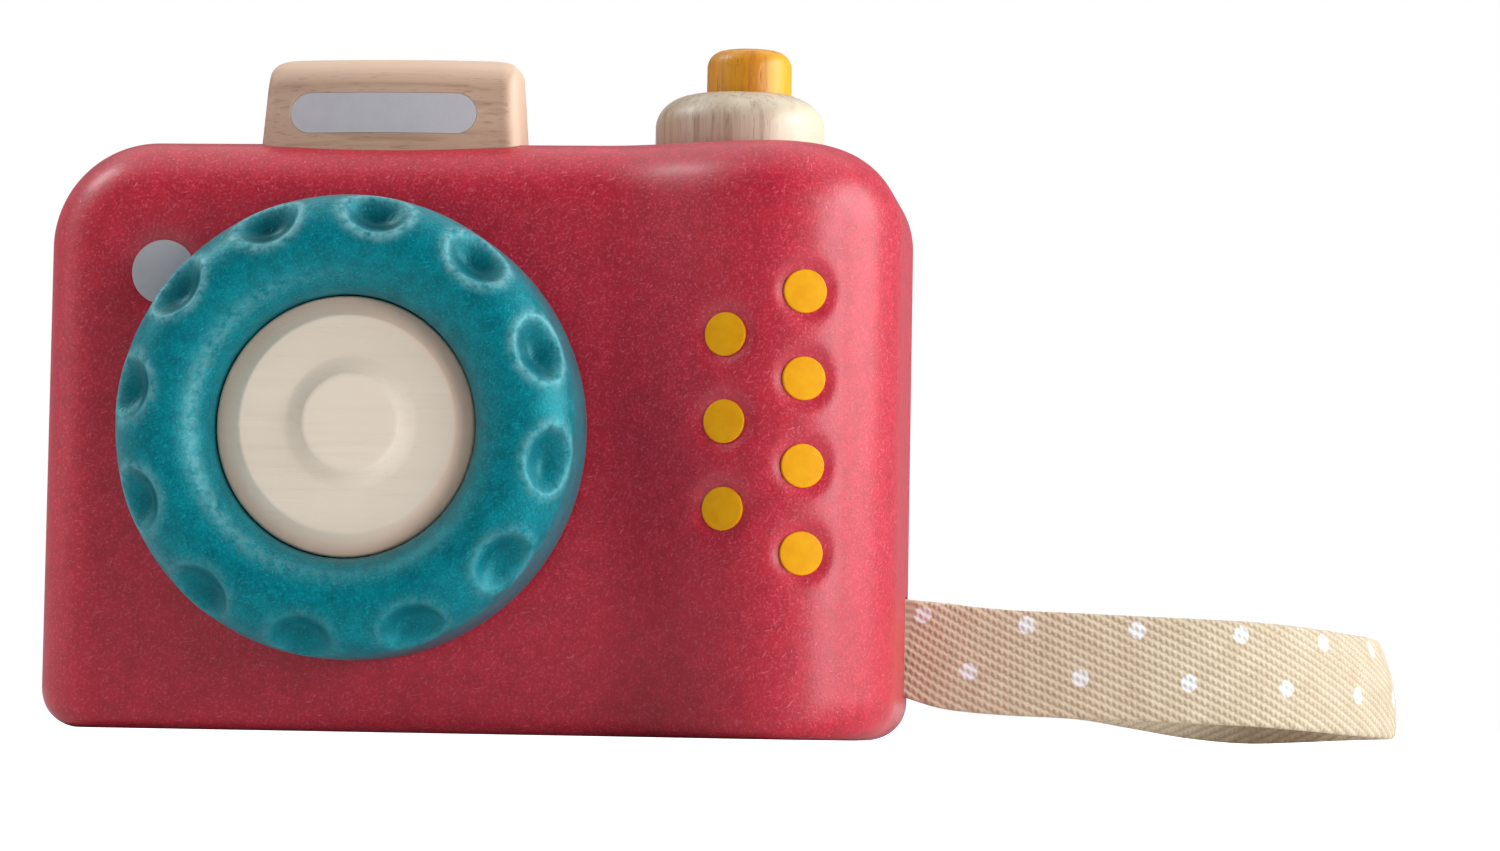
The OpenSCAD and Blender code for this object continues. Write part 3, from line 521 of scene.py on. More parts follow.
def twill_tape(name):
    """Undyed cotton twill with rough white dots; the UV map is metres along and across the tape."""
    material, tree, bsdf = new_material(name, Roughness=0.88, Specular_IOR_Level=0.2, Sheen_Weight=0.15)
    uv = add(tree, "ShaderNodeUVMap", uv_map="tape").outputs[0]
    parts = add(tree, "ShaderNodeSeparateXYZ", {"Vector": uv})
    along, across = parts.outputs[0], parts.outputs[1]
    sin, cos = math.sin(TWILL_ANGLE), math.cos(TWILL_ANGLE)
    phase = plus(tree, times(tree, along, sin / TWILL_PITCH), times(tree, across, cos / TWILL_PITCH))
    rib_run = less(tree, times(tree, along, cos / BEAD_PITCH), times(tree, across, sin / BEAD_PITCH))
    bead = wave_of(tree, plus(tree, rib_run, times(tree, phase, BEAD_SLANT)))
    wave = wave_of(tree, plus(tree, phase, times(tree, bead, BEAD_WAVE)))
    yarn = noise(tree, stretched(tree, uv, (1100.0, 2600.0, 1.0)))
    cloud = noise(tree, uv, scale=260.0, detail=3.0)
    colour = mix(tree, span(tree, cloud, 0.3, 0.7), rgb(210, 196, 170), rgb(199, 182, 154))
    colour = mix(tree, span(tree, yarn, 0.35, 0.7, to_high=0.45), colour, rgb(226, 216, 194))
    # Painted shade in the twill's grooves and where the beads pinch
    pinch_shade = span(tree, bead, -0.3, -1.0, to_high=0.16)
    groove_shade = largest(tree, [span(tree, wave, -0.2, -0.95, to_high=0.42), pinch_shade])
    colour = mix(tree, groove_shade, colour, rgb(153, 130, 104))

    ragged = times(tree, noise(tree, uv, scale=1500.0), POLKA_RAGGED)
    spots = []
    for i, row in enumerate(POLKA_ROWS):
        start = POLKA_START + i * POLKA_PITCH / 2
        turns = math_node(tree, "DIVIDE", less(tree, along, start), POLKA_PITCH)
        du = times(tree, less(tree, turns, math_node(tree, "ROUND", turns)), POLKA_PITCH)
        dv = less(tree, across, row)
        reach = math_node(tree, "SQRT", plus(tree, times(tree, du, du), times(tree, dv, dv)))
        rim = plus(tree, reach, ragged)
        spots.append(span(tree, rim, POLKA_R + POLKA_RIM_OUT, POLKA_R + POLKA_RIM_IN))
    # The dots take the same painted shade in the grooves
    white = mix(tree, groove_shade, rgb(231, 234, 236), rgb(205, 200, 192))
    colour = mix(tree, largest(tree, spots), colour, white)
    tree.links.new(colour, bsdf.inputs["Base Color"])
    rope = plus(tree, times(tree, wave, 0.5), times(tree, bead, 0.22))
    bump(tree, bsdf, plus(tree, times(tree, yarn, 0.6), rope), strength=0.5, distance=0.3 * MM)
    return material


RED = composite(
    "stained_red", rgb(196, 24, 52), rgb(155, 12, 37), rgb(236, 98, 124), rough=0.41, sheen=0.48, wax=0.32,
)
# Teal whose pale colour is wear with painted highlight, and whose deep colour is stain with painted shade in
# the hollows
TEAL = composite(
    "stained_teal", rgb(0, 122, 135), rgb(0, 74, 88), rgb(16, 168, 182), worn_and_highlight=rgb(150, 206, 214),
    deep=rgb(0, 50, 66), rough=0.35, sheen_tint=(0.2, 0.95, 1.0, 1.0),
)
# Paler painted light on the block's brow and on its side turned to the right
BLOCK_WOOD = natural_wood(
    "block_wood", rgb(198, 166, 144), rgb(184, 150, 128), rgb(158, 122, 100), axis=0,
    painted_light=rgb(226, 196, 172),
)
# Paler painted light on the collar's side turned to the right
COLLAR_WOOD = natural_wood(
    "collar_wood", rgb(208, 194, 173), rgb(184, 164, 140), rgb(142, 115, 91), axis=2, rough=0.4, seed=0.37,
    gloss=0.75, painted_light=rgb(224, 213, 186),
)
INNER_WOOD = natural_wood(
    "inner_wood", rgb(220, 196, 168), rgb(206, 178, 148), rgb(176, 142, 112), axis=1, seed=0.71,
)
# Warm painted colour on the rim that cancels the teal light bounced from the ring
DISC_WOOD = natural_wood(
    "disc_wood", rgb(244, 230, 212), rgb(241, 226, 207), rgb(236, 220, 201), axis=0, rough=0.55, pores=0.05,
    seed=0.13, painted_light=rgb(255, 216, 193),
)
# Yellower painted light on the button's side turned to the right
YELLOW_STAIN = natural_wood(
    "yellow_stain", rgb(226, 160, 26), rgb(206, 132, 22), rgb(164, 84, 24), axis=2, rough=0.34, seed=0.53,
    gloss=0.5, painted_light=rgb(232, 170, 22),
)
YELLOW_PAINT = paint("yellow_paint", rgb(236, 168, 10), rgb(226, 150, 6), gloss=0.15)
SILVER = paint("silver_print", rgb(190, 188, 194), rgb(183, 181, 188))
STEEL = steel("zinc_steel")
FELT = felt("grey_felt")
TAPE = twill_tape("twill_tape")


# Mesh helpers

def make_piece(name, verts, faces, material, sharp=None):
    """Mesh object with smooth shading; edges sharper than the angle in degrees stay crisp."""
    mesh = bpy.data.meshes.new(name)
    mesh.from_pydata([tuple(v) for v in verts], [], [tuple(f) for f in faces])
    mesh.materials.append(material)
    mesh.validate()
    piece = bpy.data.objects.new(name, mesh)
    bpy.context.scene.collection.objects.link(piece)
    finish_mesh(piece, sharp)
    return piece


def finish_mesh(piece, sharp=None):
    """Outward normals and smooth shading."""
    bm = bmesh.new()
    bm.from_mesh(piece.data)
    bmesh.ops.recalc_face_normals(bm, faces=bm.faces)
    bm.to_mesh(piece.data)
    bm.free()
    piece.data.shade_smooth()
    if sharp is not None:
        piece.data.set_sharp_from_angle(angle=math.radians(sharp))


def set_shares(piece, name, shares):
    """Share at each vertex, which the material reads by its name."""
    piece.data.attributes.new(name, "FLOAT", "POINT").data.foreach_set("value", shares)


def lit_side(piece):
    """Share of painted light that rises on faces turned to the right."""
    return np.interp([v.normal.x for v in piece.data.vertices], LIT_RANGE, (0.0, 1.0))


def stand_for(piece, body, slot, node):
    """The piece rides on a body and replaces a CAD node; the slot is not used."""
    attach(piece, body)
    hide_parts(node)


def grid_faces(rows, columns, close_rows=False):
    """Quads between closed rows of points."""
    faces = []
    for j in range(rows if close_rows else rows - 1):
        k = (j + 1) % rows
        for i in range(columns):
            h = (i + 1) % columns
            faces.append((j * columns + i, j * columns + h, k * columns + h, k * columns + i))
    return faces


def loft(rows):
    """Closed solid through rows of points, with a flat face on the first and the last."""
    columns = len(rows[0])
    last = (len(rows) - 1) * columns
    faces = grid_faces(len(rows), columns)
    faces += [tuple(range(columns)), tuple(last + i for i in reversed(range(columns)))]
    return [p for row in rows for p in row], faces


def prism(shape, low, high, at):
    """Closed solid between two copies of an outline."""
    return loft([[at(x, y, level) for x, y in shape] for level in (low, high)])


def arc(cx, cy, rx, ry, start, end, count):
    """Points of an elliptic arc, angles in degrees."""
    angles = np.radians(np.linspace(start, end, count))
    return [(cx + rx * math.cos(a), cy + ry * math.sin(a)) for a in angles]


def circle(cx, cy, r, count=96):
    return arc(cx, cy, r, r, 0, 360 * (1 - 1 / count), count)


def between(a, b, parts):
    """Even steps from a to b, without the two ends."""
    return [a + (b - a) * i / parts for i in range(1, parts)]


def dense(points, step):
    """Polyline with extra points, so that no stretch is longer than the step."""
    out = []
    for (x0, y0), (x1, y1) in zip(points, points[1:]):
        count = max(1, math.ceil(math.hypot(x1 - x0, y1 - y0) / step))
        out += [(x0 + (x1 - x0) * i / count, y0 + (y1 - y0) * i / count) for i in range(count)]
    return out + [points[-1]]


def hoop(r, h, segments, at):
    """Circle of points round an axis, at a height."""
    angles = [2 * math.pi * i / segments for i in range(segments)]
    return [at(r * math.cos(a), r * math.sin(a), h) for a in angles]


def lathe(profile, segments, at):
    """Closed solid turned from a profile of radius and height that starts and ends on the axis."""
    inner = profile[1:-1]
    verts = [p for r, h in inner for p in hoop(r, h, segments, at)]
    faces = grid_faces(len(inner), segments)
    for end, row in ((profile[0], 0), (profile[-1], len(inner) - 1)):
        tip = len(verts)
        verts.append(at(0.0, 0.0, end[1]))
        faces += [(tip, row * segments + i, row * segments + (i + 1) % segments) for i in range(segments)]
    return verts, faces


# Placements of a shape in the frame

def on_lens(x, y, o):
    """Point beside the lens axis, at a distance forward of the flat front."""
    return (LENS_X + x, FRONT_Y - o, LENS_Z + y)


def on_top(middle_x):
    """Placement round an upright axis of the shutter."""
    return lambda x, y, z: (middle_x + x, SHUTTER_Y + y, z)


def upright(x, y, z):
    return (x, y, z)


def facing_back(x, z, y):
    return (x, y, z)


def facing_side(y, z, x):
    return (x, y, z)


# Cuts

def cut_by(piece, solid, operation="DIFFERENCE"):
    """Boolean of a piece with a solid of vertices and faces."""
    cutter = make_piece("cutter", *solid, RED)
    modifier = piece.modifiers.new("cut", "BOOLEAN")
    modifier.operation = operation
    modifier.solver = "EXACT"
    modifier.object = cutter
    bpy.context.view_layer.update()
    graph = bpy.context.evaluated_depsgraph_get()
    result = bpy.data.meshes.new_from_object(piece.evaluated_get(graph))
    piece.modifiers.remove(modifier)
    old = piece.data
    piece.data = result
    bpy.data.meshes.remove(old)
    bpy.data.objects.remove(cutter)


def cut_prism(piece, shape, low, high, at):
    cut_by(piece, prism(shape, low, high, at))


# Body

def smooth_rise(t):
    return (1 - math.cos(math.pi * t)) / 2


def edge_inset(r, h):
    """How far an edge of radius r has drawn in at the height h above its start."""
    return 0.0 if h <= 0 else r - math.sqrt(max(0.0, r * r - h * h))


def soft_depth(depth, soft):
    """Depth that fades out with a soft lip where it would turn negative."""
    return 0.5 * (depth + np.sqrt(depth * depth + soft ** 2))


def front_at(x):
    """Y of the front at mid height."""
    if x <= FLANK_X:
        return FRONT_Y
    if x <= RIDGE_X:
        return FRONT_Y - GRIP_SWELL * smooth_rise((x - FLANK_X) / GRIP_FLANK_W)
    t = (x - RIDGE_X) / GRIP_RIDGE_INSET
    return FRONT_Y - GRIP_SWELL + GRIP_SIDE_D * (1 - math.sqrt(1 - t * t))


def front_normal(x):
    """Outward normal of the front at x."""
    step = 0.01 * MM
    slope = (front_at(x + step) - front_at(x - step)) / (2 * step)
    return Vector((slope, -1.0, 0.0)).normalized()


def left_edge(z, left, front):
    """Left front edge of the plan: drawn in below the upper corner, rounded along the corner's arc in it."""
    h = z - BODY_H + TOP_CORNER_R
    points = []
    for i in range(EDGE_PARTS + 1):
        if h <= 0:
            a = math.pi / 2 * i / EDGE_PARTS
            x = left + (FRONT_EDGE_R - left) * (1 - math.cos(a))
            y = front + (FRONT_EDGE_R - front) * (1 - math.sin(a))
        else:
            a = math.acos(1 - min(FRONT_EDGE_R, TOP_CORNER_R - h) / FRONT_EDGE_R) * i / EDGE_PARTS
            r = TOP_CORNER_R - FRONT_EDGE_R * (1 - math.cos(a))
            x = TOP_CORNER_R - math.sqrt(max(0.0, r * r - h * h))
            y = FRONT_EDGE_R * (1 - math.sin(a))
        points.append((-HALF_W + x, FRONT_Y + y))
    return points


def body_plan(z, left, right, front, back):
    """Plan of the body at a height, drawn in along its normals, from the left side round the front."""
    x0 = -HALF_W + left
    x1 = HALF_W - right
    yf = FRONT_Y + front
    yb = BACK_Y - back
    edge = BACK_EDGE_R
    plan = left_edge(z, left, front)
    plan += [(x, yf) for x in between(plan[-1][0], FLANK_X, FRONT_PARTS)]
    for i in range(GRIP_PARTS + 1):
        t = i / GRIP_PARTS
        plan.append((FLANK_X + t * GRIP_FLANK_W, yf - GRIP_SWELL * smooth_rise(t)))
    for i in range(1, GRIP_PARTS + 1):
        a = math.pi / 2 * i / GRIP_PARTS
        x = RIDGE_X + (GRIP_RIDGE_INSET - right) * math.sin(a)
        plan.append((x, yf - GRIP_SWELL + (GRIP_SIDE_D - front) * (1 - math.cos(a))))
    plan += [(x1, y) for y in between(plan[-1][1], yb - edge, SIDE_PARTS)]
    plan += arc(x1 - edge, yb - edge, edge, edge, 0, 90, BACK_EDGE_PARTS + 1)
    plan += [(x, yb) for x in between(x1 - edge, x0 + edge, BACK_PARTS)]
    plan += arc(x0 + edge, yb - edge, edge, edge, 90, 180, BACK_EDGE_PARTS + 1)
    plan += [(x0, y) for y in between(yb - edge, plan[0][1], SIDE_PARTS)]
    return plan


def body_levels():
    """Heights of the sections, with the insets of the left and right sides there."""
    levels = []
    for i in range(BASE_PARTS + 1):
        a = math.pi / 2 * i / BASE_PARTS
        inset = BOTTOM_CORNER_R * (1 - math.sin(a))
        levels.append((BOTTOM_CORNER_R * (1 - math.cos(a)), inset, inset))
    corner_h = max(TOP_CORNER_R, GRIP_CORNER_R)
    levels += [(z, 0.0, 0.0) for z in between(BOTTOM_CORNER_R, BODY_H - corner_h, HEIGHT_PARTS)]
    for i in range(TOP_PARTS + 1):
        down = max(TOP_STEP, corner_h * (1 - math.sin(math.pi / 2 * i / TOP_PARTS)))
        left = edge_inset(TOP_CORNER_R, TOP_CORNER_R - down)
        right = edge_inset(GRIP_CORNER_R, GRIP_CORNER_R - down)
        levels.append((BODY_H - down, left, right))
    return levels


def dot_places():
    """Places of the grip's dots on the front."""
    places = []
    for column, count in ((0.5, DOTS_OUTER), (-0.5, DOTS_OUTER - 1)):
        for i in range(count):
            places.append((RIDGE_X + column * DOT_COL_GAP, DOT_Z + DOT_PITCH * ((count - 1) / 2 - i)))
    return places


def hollow_depth(r, ball_r):
    """Depth of a ball's hollow with a soft lip at the distance r from its middle."""
    ball = HOLLOW_DEPTH - ball_r + np.sqrt(np.maximum(ball_r ** 2 - r ** 2, 0.0))
    return soft_depth(ball, HOLLOW_SOFT)


def press_hollows(points):
    """Pushes points of the body's front in round each dot."""
    hollows = [(x, z, DOT_HOLLOW_R) for x, z in dot_places()]
    hollows.append((SENSOR_X, SENSOR_Z, SENSOR_HOLLOW_R))
    for x, z, ball_r in hollows:
        normal = np.array(front_normal(x))
        middle = np.array((x, front_at(x), z))
        off = points - middle
        deep = off @ normal
        flat = np.linalg.norm(off - deep[:, None] * normal, axis=1)
        on_front = (np.abs(deep) < HOLLOW_NEAR) & (points[:, 1] < FRONT_Y + HOLLOW_BACK)
        near = on_front & (flat < ball_r * HOLLOW_REACH)
        points[near] -= hollow_depth(flat[near], ball_r)[:, None] * normal
    return points


def body_skin():
    """Outer form of the body."""
    rows = []
    for z, left, right in body_levels():
        base = edge_inset(BASE_EDGE_R, BASE_EDGE_R - z)
        front = base + edge_inset(FRONT_EDGE_R, z - BODY_H + FRONT_EDGE_R)
        back = base + edge_inset(BACK_EDGE_R, z - BODY_H + BACK_EDGE_R)
        rows.append([(x, y, z) for x, y in body_plan(z, left, right, front, back)])
    points, faces = loft(rows)
    return press_hollows(np.array(points)), faces


def outline(inset, corner_r):
    """Rounded outline in the XZ plane, inset from the body's."""
    left_r = max(TOP_CORNER_R - inset, corner_r)
    right_r = max(GRIP_CORNER_R - inset, corner_r)
    hw = HALF_W - inset
    top = BODY_H - inset
    points = []
    for cx, cz, r, start, count in (
        (hw - corner_r, inset + corner_r, corner_r, -90, 12),
        (hw - right_r, top - right_r, right_r, 0, 24),
        (-hw + left_r, top - left_r, left_r, 90, 24),
        (-hw + corner_r, inset + corner_r, corner_r, 180, 12),
    ):
        points += arc(cx, cz, r, r, start, start + 90, count)
    return points


def make_body():
    """Moulded body with its cavity, recesses, bores and slot."""
    body = make_piece("body_shell", *body_skin(), RED)
    cavity = outline(WALL, COVER_CORNER_R)
    cut_prism(body, cavity, FRONT_Y + FRONT_WALL, COVER_Y + CUT_OVER, facing_back)
    recess = outline(COVER_INSET, COVER_CORNER_R)
    cut_prism(body, recess, COVER_Y, BACK_Y + CUT_OVER, facing_back)
    cut_prism(body, circle(0, 0, HUB_HOLE_R), -FRONT_WALL - CUT_OVER, CUT_OVER, on_lens)
    seat = circle(COLLAR_X, SHUTTER_Y, COLLAR_SPIGOT_R + INLAY_GAP)
    cut_prism(body, seat, COLLAR_SPIGOT_Z - CUT_OVER, BODY_H + CUT_OVER, upright)
    pocket = block_plan(-BLOCK_GAP, -BLOCK_GAP)
    cut_prism(body, pocket, BODY_H - BLOCK_SINK, BODY_H + CUT_OVER, upright)
    y0, y1 = STRAP_Y - SLOT_W / 2, STRAP_Y + SLOT_W / 2
    z0, z1 = STRAP_Z - SLOT_H / 2, STRAP_Z + SLOT_H / 2
    slot = ((y0, z0), (y1, z0), (y1, z1), (y0, z1))
    cut_prism(body, slot, HALF_W - WALL - CUT_OVER, HALF_W + CUT_OVER, facing_side)
    finish_mesh(body, SHARP_CUT)
    stand_for(body, "housing", "body_red", "front_shell")


def make_cover():
    """Plate let into the back, with softened edges and sunk screw holes."""
    edge = COVER_EDGE
    soft = 0.3 * edge
    rows = []
    for inset, y in ((0.0, COVER_Y), (0.0, BACK_Y - edge), (soft, BACK_Y - soft), (edge, BACK_Y)):
        ring = outline(COVER_INSET + COVER_GAP + inset, COVER_CORNER_R - COVER_GAP)
        rows.append([(x, y, z) for x, z in ring])
    cover = make_piece("back_plate", *loft(rows), RED)
    for x, z in [(side * (HALF_W - inset), z) for inset, z in SCREW_ROWS for side in (-1, 1)]:
        head = circle(x, z, SCREW_HEAD_R, count=48)
        cut_prism(cover, head, BACK_Y - SCREW_HEAD_DEPTH, BACK_Y + edge, facing_back)
        shank = circle(x, z, SCREW_R, count=32)
        cut_prism(cover, shank, COVER_Y - edge, BACK_Y - edge, facing_back)
    finish_mesh(cover, SHARP_COVER)
    stand_for(cover, "housing", "body_red", "back_cover")


def make_dots():
    """Painted discs with a softened rim in the grip's hollows, and the silver one beside the lens."""
    rim = DOT_RIM_R
    sensor = [(SENSOR_X, SENSOR_Z)]
    for name, places, r, ball_r, material, slot, node in (
        ("grip_dots_paint", dot_places(), DOT_D / 2, DOT_HOLLOW_R, YELLOW_PAINT, "dot_yellow", "grip_dots"),
        ("sensor_paint", sensor, SENSOR_D / 2, SENSOR_HOLLOW_R, SILVER, "silver_print", "sensor_dot"),
    ):
        face = -(HOLLOW_DEPTH - edge_inset(ball_r, r)) + DOT_PROUD
        profile = [(0, face - DOT_T), (r, face - DOT_T)]
        profile += arc(r - rim, face - rim, rim, rim, 0, 90, 6) + [(0, face)]
        verts, faces = [], []
        for x, z in places:
            normal = front_normal(x)
            across = Vector((0, 0, 1)).cross(normal)
            middle = Vector((x, front_at(x), z))

            def at(u, v, h):
                return middle - across * u + Vector((0, 0, v)) + normal * h

            more, rings = lathe(profile, DOT_SEGMENTS, at)
            faces += [tuple(i + len(verts) for i in f) for f in rings]
            verts += more
        stand_for(make_piece(name, verts, faces, material, SHARP_TURNED), "housing", slot, node)


# Lens

def ring_profile():
    """Closed profile of the ring, as radius and distance forward."""
    rear = arc(RING_R - RING_REAR_R, RING_BACK + RING_REAR_R, RING_REAR_R, RING_REAR_R, -90, 0, 12)
    outer = dense([rear[-1], (RING_R, CROWN_O)], RING_STEP)[1:-1]
    crown = arc(RING_R - CROWN_R, CROWN_O, CROWN_R, CROWN_R, 0, 180, 73)
    inside = [(SEAT_R, RING_WEB_FRONT), (RING_BORE_R, RING_WEB_FRONT), (RING_BORE_R, RING_BACK)]
    seat = dense([crown[-1]] + inside + [rear[0]], RING_STEP)
    return rear + outer + crown + seat[1:-1]


def make_ring():
    """Turned ring with finger hollows, pale wear with painted highlight on their lips, stain with painted
    shade inside them, and a painted highlight band on its inner slope.
    """
    profile = np.array(ring_profile())
    turn = 2 * np.pi * np.arange(RING_SEGMENTS) / RING_SEGMENTS
    middle_r = RING_R - CROWN_R
    tilt = np.arctan2(profile[:, 1] - CROWN_O, profile[:, 0] - middle_r)
    on_crown = (profile[:, 1] > CROWN_O - CROWN_BELOW) & (profile[:, 0] > middle_r - CROWN_INSIDE)
    # Share that rises towards the top of the ring, where the lips get more painted highlight and the hollows
    # more painted shade
    upper = 0.5 + 0.5 * np.sin(turn)
    highlight_band_side = (0.5 + 0.5 * np.cos(turn - HIGHLIGHT_BAND_SIDE)) ** 2
    phase = (turn - SCALLOP_START) * SCALLOPS / (2 * np.pi)
    nearest = (phase - np.round(phase)) * 2 * np.pi / SCALLOPS
    round_off = nearest * (middle_r + CROWN_R * math.cos(SCALLOP_TILT))
    verts, wear_and_highlight, hollow = [], [], []
    for (r, o), a, crown in zip(profile, tilt, on_crown):
        deep = np.zeros(RING_SEGMENTS)
        lip = np.zeros(RING_SEGMENTS)
        stain_and_shade = np.zeros(RING_SEGMENTS)
        if crown:
            up = (a - SCALLOP_TILT) * CROWN_R
            rho = np.hypot(round_off / SCALLOP_HALF_ROUND, up / SCALLOP_HALF_UP)
            lip = np.exp(-((rho - LIP_AT) / LIP_WIDTH) ** 2)
            deep = soft_depth(SCALLOP_DEPTH * (1 - rho ** 2), SCALLOP_SOFT) - LIP_RISE * lip
            # Stain with painted shade in the hollow, stronger on the upper hollows
            stain_and_shade = np.clip(STAIN_AND_SHADE_REACH - rho ** 2, 0.0, 1.0) * (STAIN_AND_SHADE_LEAST + (1 - STAIN_AND_SHADE_LEAST) * upper)
            # Wear with painted highlight on the lip, stronger on the upper hollows
            lip *= LIP_LEAST + (1 - LIP_LEAST) * upper
        # Painted highlight band on the inner slope, strongest towards the left
        lip = lip + HIGHLIGHT_BAND_SHARE * math.exp(-((a - HIGHLIGHT_BAND_TILT) / HIGHLIGHT_BAND_WIDTH) ** 2) * highlight_band_side
        rr = r - deep * math.cos(a)
        oo = o - deep * math.sin(a)
        for radius, height, t in zip(rr, oo, turn):
            verts.append(on_lens(radius * math.cos(t), radius * math.sin(t), height))
        wear_and_highlight += lip.tolist()
        hollow += stain_and_shade.tolist()
    faces = grid_faces(len(profile), RING_SEGMENTS, close_rows=True)
    ring = make_piece("lens_ring_turned", verts, faces, TEAL, SHARP_TURNED)
    # Shares of wear with painted highlight, and of stain with painted shade in the hollows
    set_shares(ring, "wear_and_highlight", wear_and_highlight)
    set_shares(ring, "hollow", hollow)
    stand_for(ring, "ring", "ring_teal", "lens_ring")


def make_disc():
    """Turned disc with a chamfered rim and a raised middle."""
    lean = math.degrees(math.atan2(DISC_RIM_W, DISC_RIM_H))
    foot = DISC_RIM_R * math.tan(math.radians(lean / 2))
    shoulder = DISC_RIM_R * math.tan(math.radians((90 - lean) / 2))
    rim_foot = DISC_FRONT - DISC_RIM_H - foot
    flat_r = DISC_R - DISC_RIM_W
    rim = arc(DISC_R - DISC_RIM_R, rim_foot, DISC_RIM_R, DISC_RIM_R, 0, lean, 10)
    rim += arc(flat_r - shoulder, DISC_FRONT - DISC_RIM_R, DISC_RIM_R, DISC_RIM_R, lean, 90, 10)
    flat = dense([rim[-1], (PUPIL_R, DISC_FRONT)], DISC_STEP)[1:]
    slope = []
    for i in range(1, PUPIL_PARTS + 1):
        t = i / PUPIL_PARTS
        slope.append((PUPIL_R + (PUPIL_TOP_R - PUPIL_R) * t, DISC_FRONT + PUPIL_H * t ** PUPIL_CURVE))
    top = dense([slope[-1], (PUPIL_TIP_R, DISC_FRONT + PUPIL_H)], DISC_STEP)[1:]
    spigot = DISC_BACK + SPIGOT_L
    back = [(0, spigot), (SPIGOT_R, spigot), (SPIGOT_R, DISC_BACK), (DISC_R, DISC_BACK)]
    profile = back + rim + flat + slope + top + [(0, DISC_FRONT + PUPIL_H)]

    def at(x, y, o):
        """The boss lies a little beside the axis, and the edge of the flat half as far."""
        off = float(np.interp(math.hypot(x, y), (PUPIL_R, flat_r, DISC_R), (1.0, 0.5, 0.0)))
        off = off if o > rim_foot else 0.0
        return on_lens(x + off * PUPIL_OFF.x, y + off * PUPIL_OFF.y, o)

    verts, faces = lathe(profile, TURNED_SEGMENTS, at)
    disc = make_piece("lens_disc_turned", verts, faces, DISC_WOOD, SHARP_TURNED)
    # Warm painted colour on the rim that cancels the teal light bounced from the ring
    reach = [math.hypot(x - LENS_X, z - LENS_Z) for x, y, z in verts]
    set_shares(disc, "painted_light", np.interp(reach, (flat_r, flat_r + DISC_RIM_R), (0.0, 1.0)))
    stand_for(disc, "housing", "disc_wood", "lens_disc")


# Shutter

def make_collar():
    """Turned collar whose bore lies beside its own axis."""
    edge = COLLAR_EDGE
    bore_r = COLLAR_BORE_R
    flat_r = COLLAR_R - COLLAR_ROUND_W
    outer = [(COLLAR_SPIGOT_R, COLLAR_SPIGOT_Z), (COLLAR_SPIGOT_R, BODY_H), (COLLAR_R - edge, BODY_H)]
    outer += arc(COLLAR_R - edge, BODY_H + edge, edge, edge, -90, 0, 5)
    outer += arc(flat_r, COLLAR_TOP - COLLAR_ROUND_H, COLLAR_ROUND_W, COLLAR_ROUND_H, 0, COLLAR_ROUND_END, 24)
    bore = [(bore_r + edge, COLLAR_TOP), (bore_r, COLLAR_TOP - edge), (bore_r, COLLAR_SPIGOT_Z)]
    verts = []
    for profile, middle_x in ((outer, COLLAR_X), (bore, BUTTON_X)):
        for r, h in profile:
            verts += hoop(r, h, TURNED_SEGMENTS, on_top(middle_x))
    faces = grid_faces(len(outer) + len(bore), TURNED_SEGMENTS, close_rows=True)
    collar = make_piece("collar_turned", verts, faces, COLLAR_WOOD, SHARP_CUT)
    # Painted light, paler on the side turned to the right
    set_shares(collar, "painted_light", lit_side(collar))
    stand_for(collar, "housing", "natural_wood", "shutter_collar")


def make_button():
    """Turned button with the foot that keeps it in the collar."""
    crown_r = BUTTON_R - BUTTON_ROUND
    crown = arc(crown_r, BUTTON_TOP - BUTTON_ROUND, BUTTON_ROUND, BUTTON_ROUND, 0, 90, 18)
    foot_top = BUTTON_FOOT_Z + BUTTON_FOOT_T
    profile = [(0, BUTTON_FOOT_Z), (BUTTON_FOOT_R, BUTTON_FOOT_Z), (BUTTON_FOOT_R, foot_top)]
    profile += [(BUTTON_R, foot_top)] + dense([(BUTTON_R, foot_top), crown[0]], BUTTON_STEP)[1:-1] + crown
    profile += dense([crown[-1], (BUTTON_TIP_R, BUTTON_TOP)], BUTTON_STEP)[1:] + [(0, BUTTON_TOP)]
    solid = lathe(profile, BUTTON_SEGMENTS, on_top(BUTTON_X))
    button = make_piece("button_turned", *solid, YELLOW_STAIN, SHARP_TURNED)
    # Painted light, yellower on the side turned to the right
    set_shares(button, "painted_light", lit_side(button))
    stand_for(button, "button", "button_yellow", "shutter_button")


# Flash block

def block_plan(inset, front):
    """Plan of the flash block, drawn in on all sides, with a bowed front."""
    hw = BLOCK_W / 2 - inset
    y0 = BLOCK_Y + front
    y1 = BLOCK_Y + BLOCK_D - inset
    # The corners shrink where the plan is too shallow for two of them
    r = min(BLOCK_ROUND, 0.48 * (y1 - y0 - BLOCK_BOW))
    left = BLOCK_X - hw + r
    right = BLOCK_X + hw - r
    corner_y = y0 + BLOCK_BOW + r
    count = BLOCK_CORNER_PARTS + 1
    plan = arc(left, corner_y, r, r, 180, 270, count)[:-1]
    for i in range(-BLOCK_BOW_PARTS, BLOCK_BOW_PARTS + 1):
        t = i / BLOCK_BOW_PARTS
        plan.append((BLOCK_X + (hw - r) * t, y0 + BLOCK_BOW * t * t))
    plan += arc(right, corner_y, r, r, -90, 0, count)[1:]
    plan += arc(right, y1 - r, r, r, 0, 90, count)
    plan += arc(left, y1 - r, r, r, 90, 180, count)
    return plan


def draft_inset(h):
    return max(0.0, h) * math.tan(BLOCK_DRAFT)


